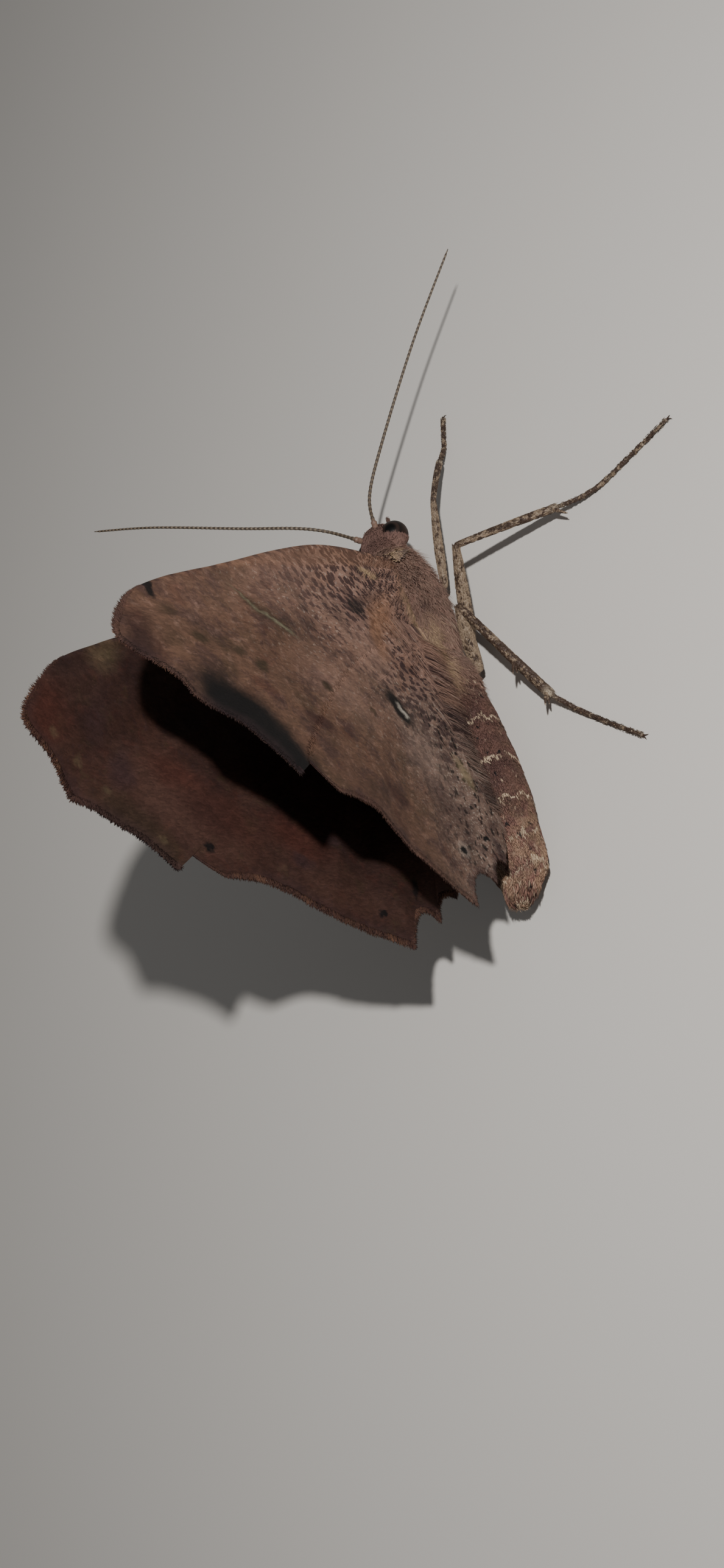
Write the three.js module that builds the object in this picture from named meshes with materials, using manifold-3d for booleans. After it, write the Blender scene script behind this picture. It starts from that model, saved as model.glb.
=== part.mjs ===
// A geometrid moth at rest with its wings raised, life size, in millimetres, +Z up.
// The head faces -Y, the moth's right side is -X, and its feet stand on the plane Z = 0.

import * as THREE from "three";
import { TessellateModifier } from "three/addons/modifiers/TessellateModifier.js";
import { mergeVertices } from "three/addons/utils/BufferGeometryUtils.js";
import Module from "manifold-3d";

const wasm = await Module();
wasm.setup();

// Driving sizes.
const FEELER_RADIUS = 0.25;      // feelers and toes, the thinnest solids
const WING_THICKNESS = 0.5;
const WING_FACET = 3.6;          // longest edge of a wing's facets
const PARTING = 0.15;            // clear space between neighbouring pieces
const FAR = 60;                  // larger than the moth
const TINY = 1e-6;               // shorter than any real length

// The trunk: three rounded bodies, each from its front to its rear along Y.
// width and height are half sizes, and squareness is how full the rounded ends are.
const HEAD = {
  front: -6.15, rear: -3.8, frontZ: 2.85, rearZ: 3.1, halfWidth: 1.05, halfHeight: 1.1,
  taper: 0.06, squareness: 2.1,
};
const THORAX = {
  front: -4.9, rear: 3.2, frontZ: 3.0, rearZ: 2.6, halfWidth: 2.2, halfHeight: 2.0,
  taper: -0.04, squareness: 2.3,
};
const ABDOMEN = {
  front: -0.2, rear: 13.9, frontZ: 2.75, rearZ: 1.6, halfWidth: 2.4, halfHeight: 1.85,
  taper: -0.12, squareness: 2.3,
};
const NECK_Y = -4.25;            // thin cut between head and thorax
const WAIST_Y = 1.9;             // thin cut between thorax and abdomen
const MID_ABDOMEN_Y = 7.6;       // thin cut between the two lengths of the abdomen

const EYE = { radius: 0.66, x: 0.8, y: -5.12, z: 2.93 };

// Feelers: the root on the head, then the curve's turns, to the tip.
const FEELERS = {
  right: [
    [-0.4, -5.6, 3.6], [-1.25, -6.55, 4.4], [-3.15, -8.2, 4.7], [-6.7, -11.3, 4.8],
    [-10.0, -14.1, 4.6],
  ],
  left: [
    [0.4, -5.35, 3.9], [0.65, -5.5, 5.7], [1.5, -6.0, 6.8], [3.4, -7.0, 8.2],
    [6.6, -8.75, 10.6], [9.5, -10.4, 11.65],
  ],
};
const SCAPE = { radius: 0.3, share: 0.1 };     // the stout root, and its share of the feeler
const PALP = { root: [0.28, -5.7, 2.2], tip: [0.34, -6.5, 2.4], radius: 0.25 };

// Legs of one side: the joints from the body to the toe, with x counted outwards.
const LEGS = {
  fore: {
    coxa: [1.3, -2.2, 1.2], knee: [2.85, -5.9, 2.0], ankle: [3.1, -8.35, 0.9],
    heel: [3.2, -9.7, 0.17], toe: [3.65, -11.0, 0.17],
    femur: 0.3, tibia: 0.27, spurs: [],
  },
  mid: {
    coxa: [1.5, 0.9, 0.9], knee: [3.9, -2.1, 3.0], ankle: [8.05, -1.8, 0.75],
    heel: [10.1, -1.65, 0.17], toe: [14.15, -2.0, 0.17],
    femur: 0.38, tibia: 0.28, spurs: [0.95],
  },
  hind: {
    coxa: [1.45, 2.6, 1.05], knee: [2.6, 0.2, 2.5], ankle: [4.4, 5.8, 0.75],
    heel: [5.3, 7.2, 0.17], toe: [7.5, 9.75, 0.17],
    femur: 0.42, tibia: 0.33, spurs: [0.62, 0.96],
  },
};
// The left foreleg is drawn in, so its joints past the knee differ.
const DRAWN_IN = { ankle: [3.1, -7.6, 0.9], heel: [3.2, -8.3, 0.17], toe: [3.3, -9.4, 0.17] };
const FEMUR_TAPER = 0.25;        // share of its radius that a femur loses towards the knee
const TIBIA_TAPER = 0.2;         // share of its radius that a tibia lacks at the knee
const SPUR = { length: 1.0, radius: 0.15, taper: 0.4, along: 0.45, rearward: 0.85, spread: 0.2 };
const LIMB_END = { fullness: 0.75, run: 4 };       // how round the end of a limb is

// Wings. A wing is drawn flat: x runs out from the hinge and y runs back along it.
const HINGE = { x: 1.18, y: -2.71, z: 4.17, slope: 8.1 };
const DIHEDRAL = { right: 78.6, left: 88.8 };      // degrees that each pair is raised
// How far each pair bends towards the other at the tip, and away from it at the rear corner.
// level is the direction, in degrees, of the line that stays flat, and turn that of a wave's half.
const BOW = {
  right: { tip: 0.9, corner: 0.7 }, left: { tip: 1.9, corner: 0.15 },
  reach: 21, level: 29, turn: 36, blend: 8,
};
const FORE_WING = {
  root: [-0.4, -0.3], costa: [[6.5, 0.9], [13.3, 3.6], [19.2, 6.1]],
  apex: [[21.2, 7.5], [22.3, 9.0], [21.6, 9.8]], hollow: [20.5, 10.3], tooth: [20.2, 11.5],
  scallop: [18.1, 12.2], corner: [16.4, 14.3], rear: [-0.4, 3.35],
};
const HIND_WING = {
  root: [-0.4, 3.55], shoulder: [15.3, 13.8], shoulderTooth: [14.2, 14.6],
  margin: [[12.1, 14.9], [10.0, 16.2], [7.8, 17.2]], tail: [5.9, 18.0], bay: [4.9, 14.7],
  lobe: [3.65, 16.8], notch: [3.1, 15.2], step: [2.1, 15.7],
  inner: [[0.8, 14.0], [-0.1, 10.0], [-0.6, 6.0]],
};

const COLOURS = {
  fur: 0x9c8278, abdomen: 0x8d6f66, wing: 0x9a7b6c, leg: 0xa08d74, eye: 0x0b0908, feeler: 0x8f7a62,
};

// --- solids -----------------------------------------------------------------------------------

function bare(geometry) {
  const copy = geometry.clone();
  copy.deleteAttribute("normal");
  copy.deleteAttribute("uv");
  return mergeVertices(copy, 1e-5);
}

function toSolid(geometry) {
  const merged = bare(geometry);
  return new wasm.Manifold(new wasm.Mesh({
    numProp: 3,
    vertProperties: new Float32Array(merged.getAttribute("position").array),
    triVerts: new Uint32Array(merged.index.array),
  }));
}

function toGeometry(solid) {
  const mesh = solid.getMesh();
  const geometry = new THREE.BufferGeometry();
  geometry.setAttribute("position", new THREE.BufferAttribute(mesh.vertProperties, 3));
  geometry.setIndex(new THREE.BufferAttribute(mesh.triVerts, 1));
  geometry.computeVertexNormals();
  return geometry;
}

function block(low, high) {
  const size = high.map((value, axis) => value - low[axis]);
  const box = new THREE.BoxGeometry(...size);
  box.translate(...low.map((value, axis) => value + size[axis] / 2));
  return toSolid(box);
}

const sameSide = (point, side) => new THREE.Vector3(point[0] * side, point[1], point[2]);
const mix = THREE.MathUtils.lerp;
const degrees = THREE.MathUtils.degToRad;

// Moves every corner of a shape to the place that a function gives for it.
function reshape(geometry, place) {
  const corners = geometry.getAttribute("position");
  const spot = new THREE.Vector3();
  for (let i = 0; i < corners.count; i += 1) {
    spot.fromBufferAttribute(corners, i);
    place(spot);
    corners.setXYZ(i, spot.x, spot.y, spot.z);
  }
  return geometry;
}

// A rounded body along Y: each ring of a sphere goes to its own station of the body.
function roundedBody(body, around, rings, grow = 0) {
  const sphere = bare(new THREE.SphereGeometry(1, around, rings));
  return toSolid(reshape(sphere, (spot) => {
    const station = 1 - Math.acos(THREE.MathUtils.clamp(spot.y, -1, 1)) / Math.PI;
    const ring = Math.hypot(spot.x, spot.z);
    const along = -Math.cos(station * Math.PI);
    const full = (1 - Math.abs(along) ** body.squareness) ** (1 / body.squareness);
    const swell = full * (1 - body.taper * along);
    const across = ring > TINY ? spot.x / ring : 0;
    const upward = ring > TINY ? spot.z / ring : 0;
    const middle = (body.front + body.rear) / 2;
    const halfLength = (body.rear - body.front) / 2 + grow;
    const skin = grow * Math.min(1, full * 2);
    spot.set(
      across * (body.halfWidth * swell + skin),
      middle + along * halfLength,
      mix(body.frontZ, body.rearZ, (along + 1) / 2) + upward * (body.halfHeight * swell + skin),
    );
  }));
}

// A round limb along a curve, with rounded ends and a radius for each place along it.
function limb(curve, radiusAt, around, rings, grow = 0) {
  const frames = curve.computeFrenetFrames(rings, false);
  const sphere = bare(new THREE.SphereGeometry(1, around, rings));
  const centre = new THREE.Vector3();
  const length = curve.getLength();
  return toSolid(reshape(sphere, (spot) => {
    const turn = Math.acos(THREE.MathUtils.clamp(spot.y, -1, 1)) / Math.PI;
    const ring = Math.round(turn * rings);
    const u = ring / rings;
    const radius = radiusAt(u) + grow;
    const toEnd = Math.min(u, 1 - u) * length;
    const full = Math.min(1, LIMB_END.fullness + toEnd / (LIMB_END.run * radius));
    const cap = ring === 0 || ring === rings ? 0 : full;
    const size = Math.hypot(spot.x, spot.z);
    const [right, up] = size > TINY ? [spot.x / size, spot.z / size] : [0, 0];
    curve.getPointAt(u, centre);
    if (u === 0) centre.addScaledVector(frames.tangents[0], -grow);
    if (u === 1) centre.addScaledVector(frames.tangents[rings], grow);
    spot.copy(centre)
      .addScaledVector(frames.normals[ring], right * radius * cap)
      .addScaledVector(frames.binormals[ring], up * radius * cap);
  }));
}

const straight = (from, to) => new THREE.LineCurve3(from, to);
const bend = (points) => new THREE.CatmullRomCurve3(points, false, "centripetal");

// --- trunk ------------------------------------------------------------------------------------

const between = (front, rear) => block([-FAR, front, -FAR], [FAR, rear, FAR]);
const halfCut = PARTING / 2;

const wholeHead = roundedBody(HEAD, 18, 12);
const wholeThorax = roundedBody(THORAX, 20, 12);
const wholeAbdomen = roundedBody(ABDOMEN, 20, 18);
const bodyClearance = roundedBody(HEAD, 18, 12, PARTING)
  .add(roundedBody(THORAX, 20, 12, PARTING))
  .add(roundedBody(ABDOMEN, 20, 18, PARTING));

function eyeAt(side, grow = 0) {
  const ball = new THREE.SphereGeometry(EYE.radius + grow, 12, 8);
  ball.rotateZ(Math.PI / 2);
  ball.translate(EYE.x * side, EYE.y, EYE.z);
  return toSolid(ball);
}

// --- feelers and palps ------------------------------------------------------------------------

function feeler(name, grow = 0) {
  const curve = bend(FEELERS[name].map((point) => new THREE.Vector3(...point)));
  const radius = (u) => mix(SCAPE.radius, FEELER_RADIUS, Math.min(1, u / SCAPE.share));
  return limb(curve, radius, 6, 22, grow);
}

function palp(side, grow = 0) {
  const curve = straight(sameSide(PALP.root, side), sameSide(PALP.tip, side));
  return limb(curve, () => PALP.radius, 8, 6, grow);
}

// --- legs -------------------------------------------------------------------------------------

const aboveFloor = block([-FAR, -FAR, 0], [FAR, FAR, FAR]);

function spurs(leg, side) {
  const knee = sameSide(leg.knee, side);
  const ankle = sameSide(leg.ankle, side);
  const along = ankle.clone().sub(knee).normalize();
  const taper = (u) => SPUR.radius * (1 - SPUR.taper * u);
  const made = [];
  for (const place of leg.spurs) {
    const root = knee.clone().lerp(ankle, place);
    for (const way of [-1, 1]) {
      const lean = new THREE.Vector3(0, SPUR.rearward, SPUR.spread * way);
      const reach = lean.addScaledVector(along, SPUR.along).setLength(SPUR.length);
      made.push(limb(straight(root, root.clone().add(reach)), taper, 6, 4));
    }
  }
  return made;
}

function legPieces(leg, side) {
  const joint = (name) => sameSide(leg[name], side);
  const thigh = straight(joint("coxa"), joint("knee"));
  const shin = straight(joint("knee"), joint("ankle"));
  const foot = bend([joint("ankle"), joint("heel"), joint("toe")]);
  const femurRadius = (u) => leg.femur * (1 - FEMUR_TAPER * u);
  const tibiaRadius = (u) => leg.tibia * (1 - TIBIA_TAPER * (1 - u));
  const toeRadius = () => FEELER_RADIUS;
  const femurClearance = limb(thigh, femurRadius, 8, 8, PARTING);
  const tibiaClearance = limb(shin, tibiaRadius, 8, 8, PARTING);
  let tibia = limb(shin, tibiaRadius, 8, 8);
  for (const spur of spurs(leg, side)) tibia = tibia.add(spur);
  const tarsus = limb(foot, toeRadius, 8, 10).subtract(tibiaClearance);
  return {
    femur: limb(thigh, femurRadius, 8, 8).subtract(bodyClearance),
    tibia: tibia.subtract(femurClearance),
    tarsus: tarsus.intersect(aboveFloor),
  };
}

// --- wings ------------------------------------------------------------------------------------

const flat = (points) => points.map((point) => new THREE.Vector2(...point));

function foreWingOutline() {
  const wing = FORE_WING;
  const outline = new THREE.Shape();
  outline.moveTo(...wing.root);
  outline.splineThru(flat([...wing.costa, ...wing.apex]));
  outline.quadraticCurveTo(...wing.hollow, ...wing.tooth);
  outline.quadraticCurveTo(...wing.scallop, ...wing.corner);
  outline.lineTo(...wing.rear);
  return outline;
}

function hindWingOutline() {
  const wing = HIND_WING;
  const outline = new THREE.Shape();
  outline.moveTo(...wing.root);
  outline.lineTo(...wing.shoulder);
  outline.lineTo(...wing.shoulderTooth);
  outline.splineThru(flat([...wing.margin, wing.tail]));
  outline.quadraticCurveTo(...wing.bay, ...wing.lobe);
  outline.quadraticCurveTo(...wing.notch, ...wing.step);
  outline.splineThru(flat(wing.inner));
  return outline;
}

// How far a place on the flat wing stands off it, towards the other pair.
function bowAt(bow, out, back) {
  const angle = THREE.MathUtils.radToDeg(Math.atan2(back, out)) - BOW.level;
  const reach = (Math.hypot(out, back) / BOW.reach) ** 2;
  const depth = mix(bow.tip, bow.corner, THREE.MathUtils.smoothstep(angle, -BOW.blend, BOW.blend));
  return angle > BOW.turn ? 0 : -depth * reach * Math.sin((Math.PI * angle) / BOW.turn);
}

function wing(outline, name) {
  const side = name === "left" ? 1 : -1;
  const rise = degrees(DIHEDRAL[name]);
  const slope = degrees(HINGE.slope);
  const back = new THREE.Vector3(0, Math.cos(slope), -Math.sin(slope));
  const upright = new THREE.Vector3(0, Math.sin(slope), Math.cos(slope));
  const out = new THREE.Vector3(side, 0, 0).multiplyScalar(Math.cos(rise))
    .addScaledVector(upright, Math.sin(rise));
  const normal = new THREE.Vector3().crossVectors(out, back);
  const hinge = new THREE.Vector3(HINGE.x * side, HINGE.y, HINGE.z);
  const plate = new THREE.ExtrudeGeometry(outline, {
    depth: WING_THICKNESS, bevelEnabled: false, curveSegments: 3,
  });
  plate.translate(0, 0, -WING_THICKNESS / 2);
  const fine = bare(new TessellateModifier(WING_FACET, 8).modify(plate));
  const bowed = reshape(fine, (spot) => {
    const lift = spot.z + side * bowAt(BOW[name], spot.x, spot.y);
    const place = hinge.clone()
      .addScaledVector(out, spot.x)
      .addScaledVector(back, spot.y)
      .addScaledVector(normal, lift);
    spot.copy(place);
  });
  return toSolid(bowed).subtract(bodyClearance);
}

// --- the moth ---------------------------------------------------------------------------------

const group = new THREE.Group();

function addPiece(name, solid, colour, roughness) {
  const material = new THREE.MeshStandardMaterial({ color: colour, roughness, metalness: 0 });
  const piece = new THREE.Mesh(toGeometry(solid), material);
  piece.name = name;
  group.add(piece);
}

let head = wholeHead.intersect(between(-FAR, NECK_Y - halfCut));
for (const side of [-1, 1]) {
  head = head.subtract(eyeAt(side, PARTING));
}
const thoraxPart = wholeThorax.intersect(between(NECK_Y + halfCut, WAIST_Y - halfCut));
const abdomenFront = wholeAbdomen.intersect(between(WAIST_Y + halfCut, MID_ABDOMEN_Y - halfCut));
const abdomenRear = wholeAbdomen.intersect(between(MID_ABDOMEN_Y + halfCut, FAR));
addPiece("head", head, COLOURS.fur, 0.95);
addPiece("thorax", thoraxPart, COLOURS.fur, 0.95);
addPiece("abdomen_front", abdomenFront, COLOURS.abdomen, 0.9);
addPiece("abdomen_rear", abdomenRear, COLOURS.abdomen, 0.9);

for (const [name, side] of [["right", -1], ["left", 1]]) {
  addPiece(`eye_${name}`, eyeAt(side), COLOURS.eye, 0.15);
  addPiece(`antenna_${name}`, feeler(name).subtract(bodyClearance), COLOURS.feeler, 0.7);
  addPiece(`palp_${name}`, palp(side).subtract(bodyClearance), COLOURS.fur, 0.9);
  addPiece(`forewing_${name}`, wing(foreWingOutline(), name), COLOURS.wing, 0.85);
  addPiece(`hindwing_${name}`, wing(hindWingOutline(), name), COLOURS.wing, 0.85);
  for (const [pair, usual] of Object.entries(LEGS)) {
    const leg = pair === "fore" && name === "left" ? { ...usual, ...DRAWN_IN } : usual;
    for (const [part, solid] of Object.entries(legPieces(leg, side))) {
      addPiece(`${pair}leg_${name}_${part}`, solid, COLOURS.leg, 0.8);
    }
  }
}

// The origin is the middle of the moth's box, on the floor.
const middle = new THREE.Box3().setFromObject(group).getCenter(new THREE.Vector3());
group.position.set(-middle.x, -middle.y, 0);

export default group;
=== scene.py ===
"""A geometrid moth, still and life size, dressed over its CAD frame.

Lengths are millimetres in the moth's drawing frame: the head faces -Y, the moth's right side
is -X and the feet stand on Z = 0. to_frame() turns them into the frame's metres.
"""

import math
from typing import NamedTuple

import bpy
import numpy as np
from bpy.props import FloatProperty, FloatVectorProperty, IntProperty, PointerProperty
from mathutils import Matrix, Vector


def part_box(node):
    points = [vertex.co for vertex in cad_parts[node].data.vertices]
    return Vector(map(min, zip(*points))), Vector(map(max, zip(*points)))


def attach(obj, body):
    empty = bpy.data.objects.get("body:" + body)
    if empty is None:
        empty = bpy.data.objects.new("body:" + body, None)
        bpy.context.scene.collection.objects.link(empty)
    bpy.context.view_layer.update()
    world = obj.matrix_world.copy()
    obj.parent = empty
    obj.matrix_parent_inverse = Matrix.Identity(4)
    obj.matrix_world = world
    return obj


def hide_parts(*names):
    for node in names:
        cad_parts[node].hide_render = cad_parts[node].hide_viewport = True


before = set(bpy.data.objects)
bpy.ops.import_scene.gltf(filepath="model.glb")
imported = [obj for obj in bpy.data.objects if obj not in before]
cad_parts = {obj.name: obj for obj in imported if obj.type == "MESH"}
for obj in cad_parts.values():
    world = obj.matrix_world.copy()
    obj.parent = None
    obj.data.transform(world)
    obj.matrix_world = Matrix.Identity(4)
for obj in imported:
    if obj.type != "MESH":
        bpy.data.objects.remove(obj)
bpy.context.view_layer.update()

bl_info = {
    "name": "Raised-Wing Moth",
    "version": (1, 0, 0),
    "blender": (4, 5, 0),
    "location": "View3D > Sidebar > Moth",
    "description": "Dresses the moth's frame with skin, coat, wings, legs, feelers and eyes",
    "category": "Object",
}

MM = 0.001
BODY = "root"
SIDES = (("right", -1), ("left", 1))
THORAX_REAR = 1.825  # rear face of the thorax node, in the drawing frame
SHIFT_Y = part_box("thorax")[1][1] / MM - THORAX_REAR
PATCH = 0.003  # size of one tuft's patch on the unwrap
SEEDS = {"coat": 11, "feelers": 23, "wings": 31, "legs": 57}
COUNTS = {  # tufts in each group, on each side where there are two
    "collar": 3200, "orbit": 2000, "fan": 1600, "shoulder": 320, "palp": 300, "seam": 1200,
    "fore_hair": 4600, "hind_hair": 6800, "falling_hair": 3000,
}
LEG_SCALES = (700, 620, 400)  # on each femur, tibia and foot


# --- the moth's sizes ---------------------------------------------------------------------------


class Rounded(NamedTuple):
    """A rounded body along Y, as wide and high as its half sizes, with rounded ends."""

    front: float
    rear: float
    front_z: float
    rear_z: float
    half_width: float
    half_height: float
    taper: float
    fullness: float

    def reach(self, y, angle, centre_z, inset):
        """How far this body reaches from the trunk's centre line, at y and in one direction."""
        half_length = (self.rear - self.front) / 2 - inset
        along = (y - (self.front + self.rear) / 2) / half_length
        within = np.abs(along) < 1
        along = np.clip(along, -0.9999, 0.9999)
        end = (1 - np.abs(along) ** self.fullness) ** (1 / self.fullness)
        swell = end * (1 - self.taper * along)
        wide = (self.half_width - inset) * swell
        high = (self.half_height - inset) * swell
        offset = centre_z - mix(self.front_z, self.rear_z, (along + 1) / 2)
        across, upward = np.sin(angle), np.cos(angle)
        a = (across / wide) ** 2 + (upward / high) ** 2
        b = upward * offset / high**2
        c = (offset / high) ** 2 - 1
        far = (-b + np.sqrt(np.maximum(b * b - a * c, 0))) / a
        return np.where(within & (c < 0), far, 0)


HEAD = Rounded(-6.15, -3.8, 2.85, 3.1, 1.05, 1.1, 0.06, 2.1)
THORAX = Rounded(-4.9, 3.2, 3.0, 2.6, 2.2, 2.0, -0.04, 2.3)
ABDOMEN = Rounded(-0.2, 13.9, 2.75, 1.6, 2.4, 1.85, -0.12, 2.3)
# The abdomen's end is slim and bent.
TAIL = {"start": 8.8, "end": 12.6, "slim": 0.28, "aside": -0.42, "down": -0.16}
SEGMENT_START = 1.9
SEGMENT_ENDS = (4.2, 6.2, 8.2, 10.05, 11.5, 12.6, 13.4)  # rear edges of the abdomen's rings
SEGMENT_SWELL = 0.022

EYE = {"radius": 0.66, "x": 0.8, "y": -5.12, "z": 2.93}
ORBIT_TILT = (12, 73)  # degrees from straight behind the eye, over which fur grows round it

FEELERS = {
    "right": (
        (-0.4, -5.6, 3.6), (-1.25, -6.55, 4.4), (-3.15, -8.2, 4.7), (-6.7, -11.3, 4.8),
        (-10.0, -14.1, 4.6),
    ),
    "left": (
        (0.4, -5.35, 3.9), (0.65, -5.5, 5.7), (1.5, -6.0, 6.8), (3.4, -7.0, 8.2),
        (6.6, -8.75, 10.6), (9.5, -10.4, 11.65),
    ),
}
PALP = {"root": (0.28, -5.5, 2.2), "tip": (0.34, -6.62, 2.42), "radius": 0.16}

TOE_RADIUS = 0.13
LEVEL = (0.13, 0.21, 0.97)  # a limb's section is measured from this direction
FLATTEN = {"femur": 0.85, "tibia": 0.9}


class Leg(NamedTuple):
    """Joints of a leg, with x counted outwards, and the limb's half widths."""

    coxa: tuple
    knee: tuple
    ankle: tuple
    heel: tuple
    toe: tuple
    femur: float
    tibia: float
    spurs: tuple


LEGS = {
    "fore": Leg((1.3, -2.2, 1.2), (2.85, -5.9, 2.0), (3.1, -8.35, 0.9), (3.2, -9.7, TOE_RADIUS),
                (3.65, -11.0, TOE_RADIUS), 0.22, 0.19, ()),
    "mid": Leg((1.5, 0.9, 0.9), (3.9, -2.1, 3.0), (8.05, -1.8, 0.75), (10.1, -1.65, TOE_RADIUS),
               (14.15, -2.0, TOE_RADIUS), 0.31, 0.22, (0.95,)),
    "hind": Leg((1.45, 2.6, 1.05), (2.6, 0.2, 2.5), (4.4, 5.8, 0.75), (5.3, 7.2, TOE_RADIUS),
                (7.5, 9.75, TOE_RADIUS), 0.33, 0.27, (0.62, 0.96)),
}
# The left foreleg is drawn in.
DRAWN_IN = {"ankle": (3.05, -7.5, 0.9), "heel": (3.0, -8.1, TOE_RADIUS), "toe": (2.95, -8.95, TOE_RADIUS)}
SPUR = {"length": 1.0, "radius": 0.10, "spread": 0.16}
FORE_SPUR = {"place": 0.35, "length": 0.9, "rise": 0.16, "radius": 0.09}
SPUR_LEAN = {"mid": (0.8, 0.9, -0.2), "hind": (0.0, 1.0, 0.43)}  # which way spurs point, x outwards
CLAW = {"length": 0.2, "spread": 0.12, "radius": 0.035}

# Wings are drawn flat: the first number runs out from the hinge, the second back along it.
HINGE = {"x": 1.18, "y": -2.71, "z": 4.17, "slope": 8.1}
DIHEDRAL = {"right": 78.6, "left": 88.8}
BOW = {"right": (0.9, 0.7), "left": (1.9, 0.15)}  # at the tip and at the rear corner
BOW_SHAPE = {"reach": 21, "level": 29, "turn": 36, "blend": 8}
SEAM = {"rise": 0.637, "back": 3.6, "tuck": 0.034}  # the line where the hindwing slips under the forewing
FAN_CENTRE = {"fore": (-0.4, 1.5), "hind": (-0.4, 3.7)}  # where a wing's rays start
PLEAT = {"height": 0.055, "width": 0.55, "wave": 0.07}
VEIN = {"width": 0.085, "height": 0.035, "costa": 0.08}  # the costa is the thick front edge


def mix(low, high, share):
    """The value at that share of the way from low to high."""
    return low + (high - low) * share


def smooth(low, high, value):
    """0 below low, 1 above high, and a smooth step between them."""
    share = np.clip((value - low) / (high - low), 0, 1)
    return share * share * (3 - 2 * share)


def unit(vectors):
    """The same directions, one long."""
    return vectors / np.maximum(np.linalg.norm(vectors, axis=-1, keepdims=True), 1e-9)


def to_frame(points):
    """Drawing millimetres as the frame's metres."""
    return (np.asarray(points, float) + (0, SHIFT_Y, 0)) * MM


def outwards(point, side):
    """A leg's or feeler's point on that side of the moth."""
    return np.array((point[0] * side, point[1], point[2]))


# --- curves -------------------------------------------------------------------------------------


def quadratic(start, pull, end, count):
    """Points on a bow from start to end, without the start."""
    t = np.linspace(0, 1, count + 1)[1:, None]
    start, pull, end = (np.asarray(p, float) for p in (start, pull, end))
    return start * (1 - t) ** 2 + pull * 2 * t * (1 - t) + end * t**2


def spline(points, count):
    """Points on an even smooth curve through the given ones, without the first."""
    p = np.asarray(points, float)
    made = []
    for i in range(len(p) - 1):
        before, after = p[max(i - 1, 0)], p[min(i + 2, len(p) - 1)]
        leave, arrive = (p[i + 1] - before) / 2, (after - p[i]) / 2
        t = np.linspace(0, 1, count + 1)[1:, None]
        made.append(
            (2 * p[i] - 2 * p[i + 1] + leave + arrive) * t**3
            + (-3 * p[i] + 3 * p[i + 1] - 2 * leave - arrive) * t**2
            + leave * t
            + p[i]
        )
    return np.concatenate(made)


def respaced(points, count):
    """The same line with evenly spaced points."""
    lengths = np.r_[0, np.cumsum(np.linalg.norm(np.diff(points, axis=0), axis=1))]
    even = np.linspace(0, lengths[-1], count)
    return np.stack([np.interp(even, lengths, column) for column in points.T], -1)


def along_line(line, index, step):
    """Points at places counted along a line, and the line's direction there."""
    places = np.arange(len(line))
    at, ahead, behind = (
        np.stack([np.interp(index + shift, places, column) for column in line.T], -1)
        for shift in (0, step, -step)
    )
    return at, unit(ahead - behind)


def fore_outline():
    """The forewing's edge, from the hinge round by the tip and back."""
    return np.concatenate([
        [(-0.4, -0.3)],
        spline([(-0.4, -0.3), (6.5, 0.9), (13.3, 3.6), (19.2, 6.1), (21.2, 7.5), (22.3, 9.0), (21.6, 9.8)],
               24),
        quadratic((21.6, 9.8), (20.5, 10.3), (20.2, 11.5), 12),
        quadratic((20.2, 11.5), (18.1, 12.2), (16.4, 14.3), 16),
        quadratic((16.4, 14.3), (8.2, 8.9), (-0.4, 3.35), 40),
    ])


def hind_outline():
    """The hindwing's edge, from the hinge round by the tail and back."""
    return np.concatenate([
        [(-0.4, 3.55)],
        quadratic((-0.4, 3.55), (8.85, 6.6), (15.5, 13.55), 40),
        quadratic((15.5, 13.55), (14.85, 14.2), (14.2, 14.6), 5),
        spline([(14.2, 14.6), (12.1, 14.9), (10.0, 16.2), (7.8, 17.2), (5.9, 18.0)], 10),
        quadratic((5.9, 18.0), (4.9, 15.5), (3.65, 16.8), 12),
        quadratic((3.65, 16.8), (3.1, 15.2), (2.1, 15.7), 8),
        spline([(2.1, 15.7), (0.8, 14.0), (-0.1, 10.0), (-0.6, 6.0)], 14),
        quadratic((-0.6, 6.0), (-0.5, 4.9), (-0.4, 3.9), 6),
    ])


OUTLINES = {"fore": fore_outline, "hind": hind_outline}


class Veins(NamedTuple):
    """A wing's veins: they leave the cell or the root and end on the wing's edge."""

    root: tuple
    cell_front: tuple
    cell_rear: tuple
    ends: tuple  # share of the edge's length, and the start: 0 root, 1 front, 2 middle, 3 rear


VEINS = {
    "fore": Veins((0.0, 1.0), (9.6, 4.6), (8.7, 7.2), (
        (0.29, 0), (0.35, 1), (0.40, 1), (0.44, 1), (0.47, 1), (0.50, 1),
        (0.525, 1), (0.55, 2), (0.575, 3), (0.60, 3), (0.625, 3), (0.69, 0))),
    "hind": Veins((-0.1, 4.3), (6.6, 8.3), (5.5, 9.9), (
        (0.40, 0), (0.435, 1), (0.485, 1), (0.535, 3), (0.58, 3), (0.63, 3), (0.70, 0))),
}


# --- finishes -----------------------------------------------------------------------------------


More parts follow.
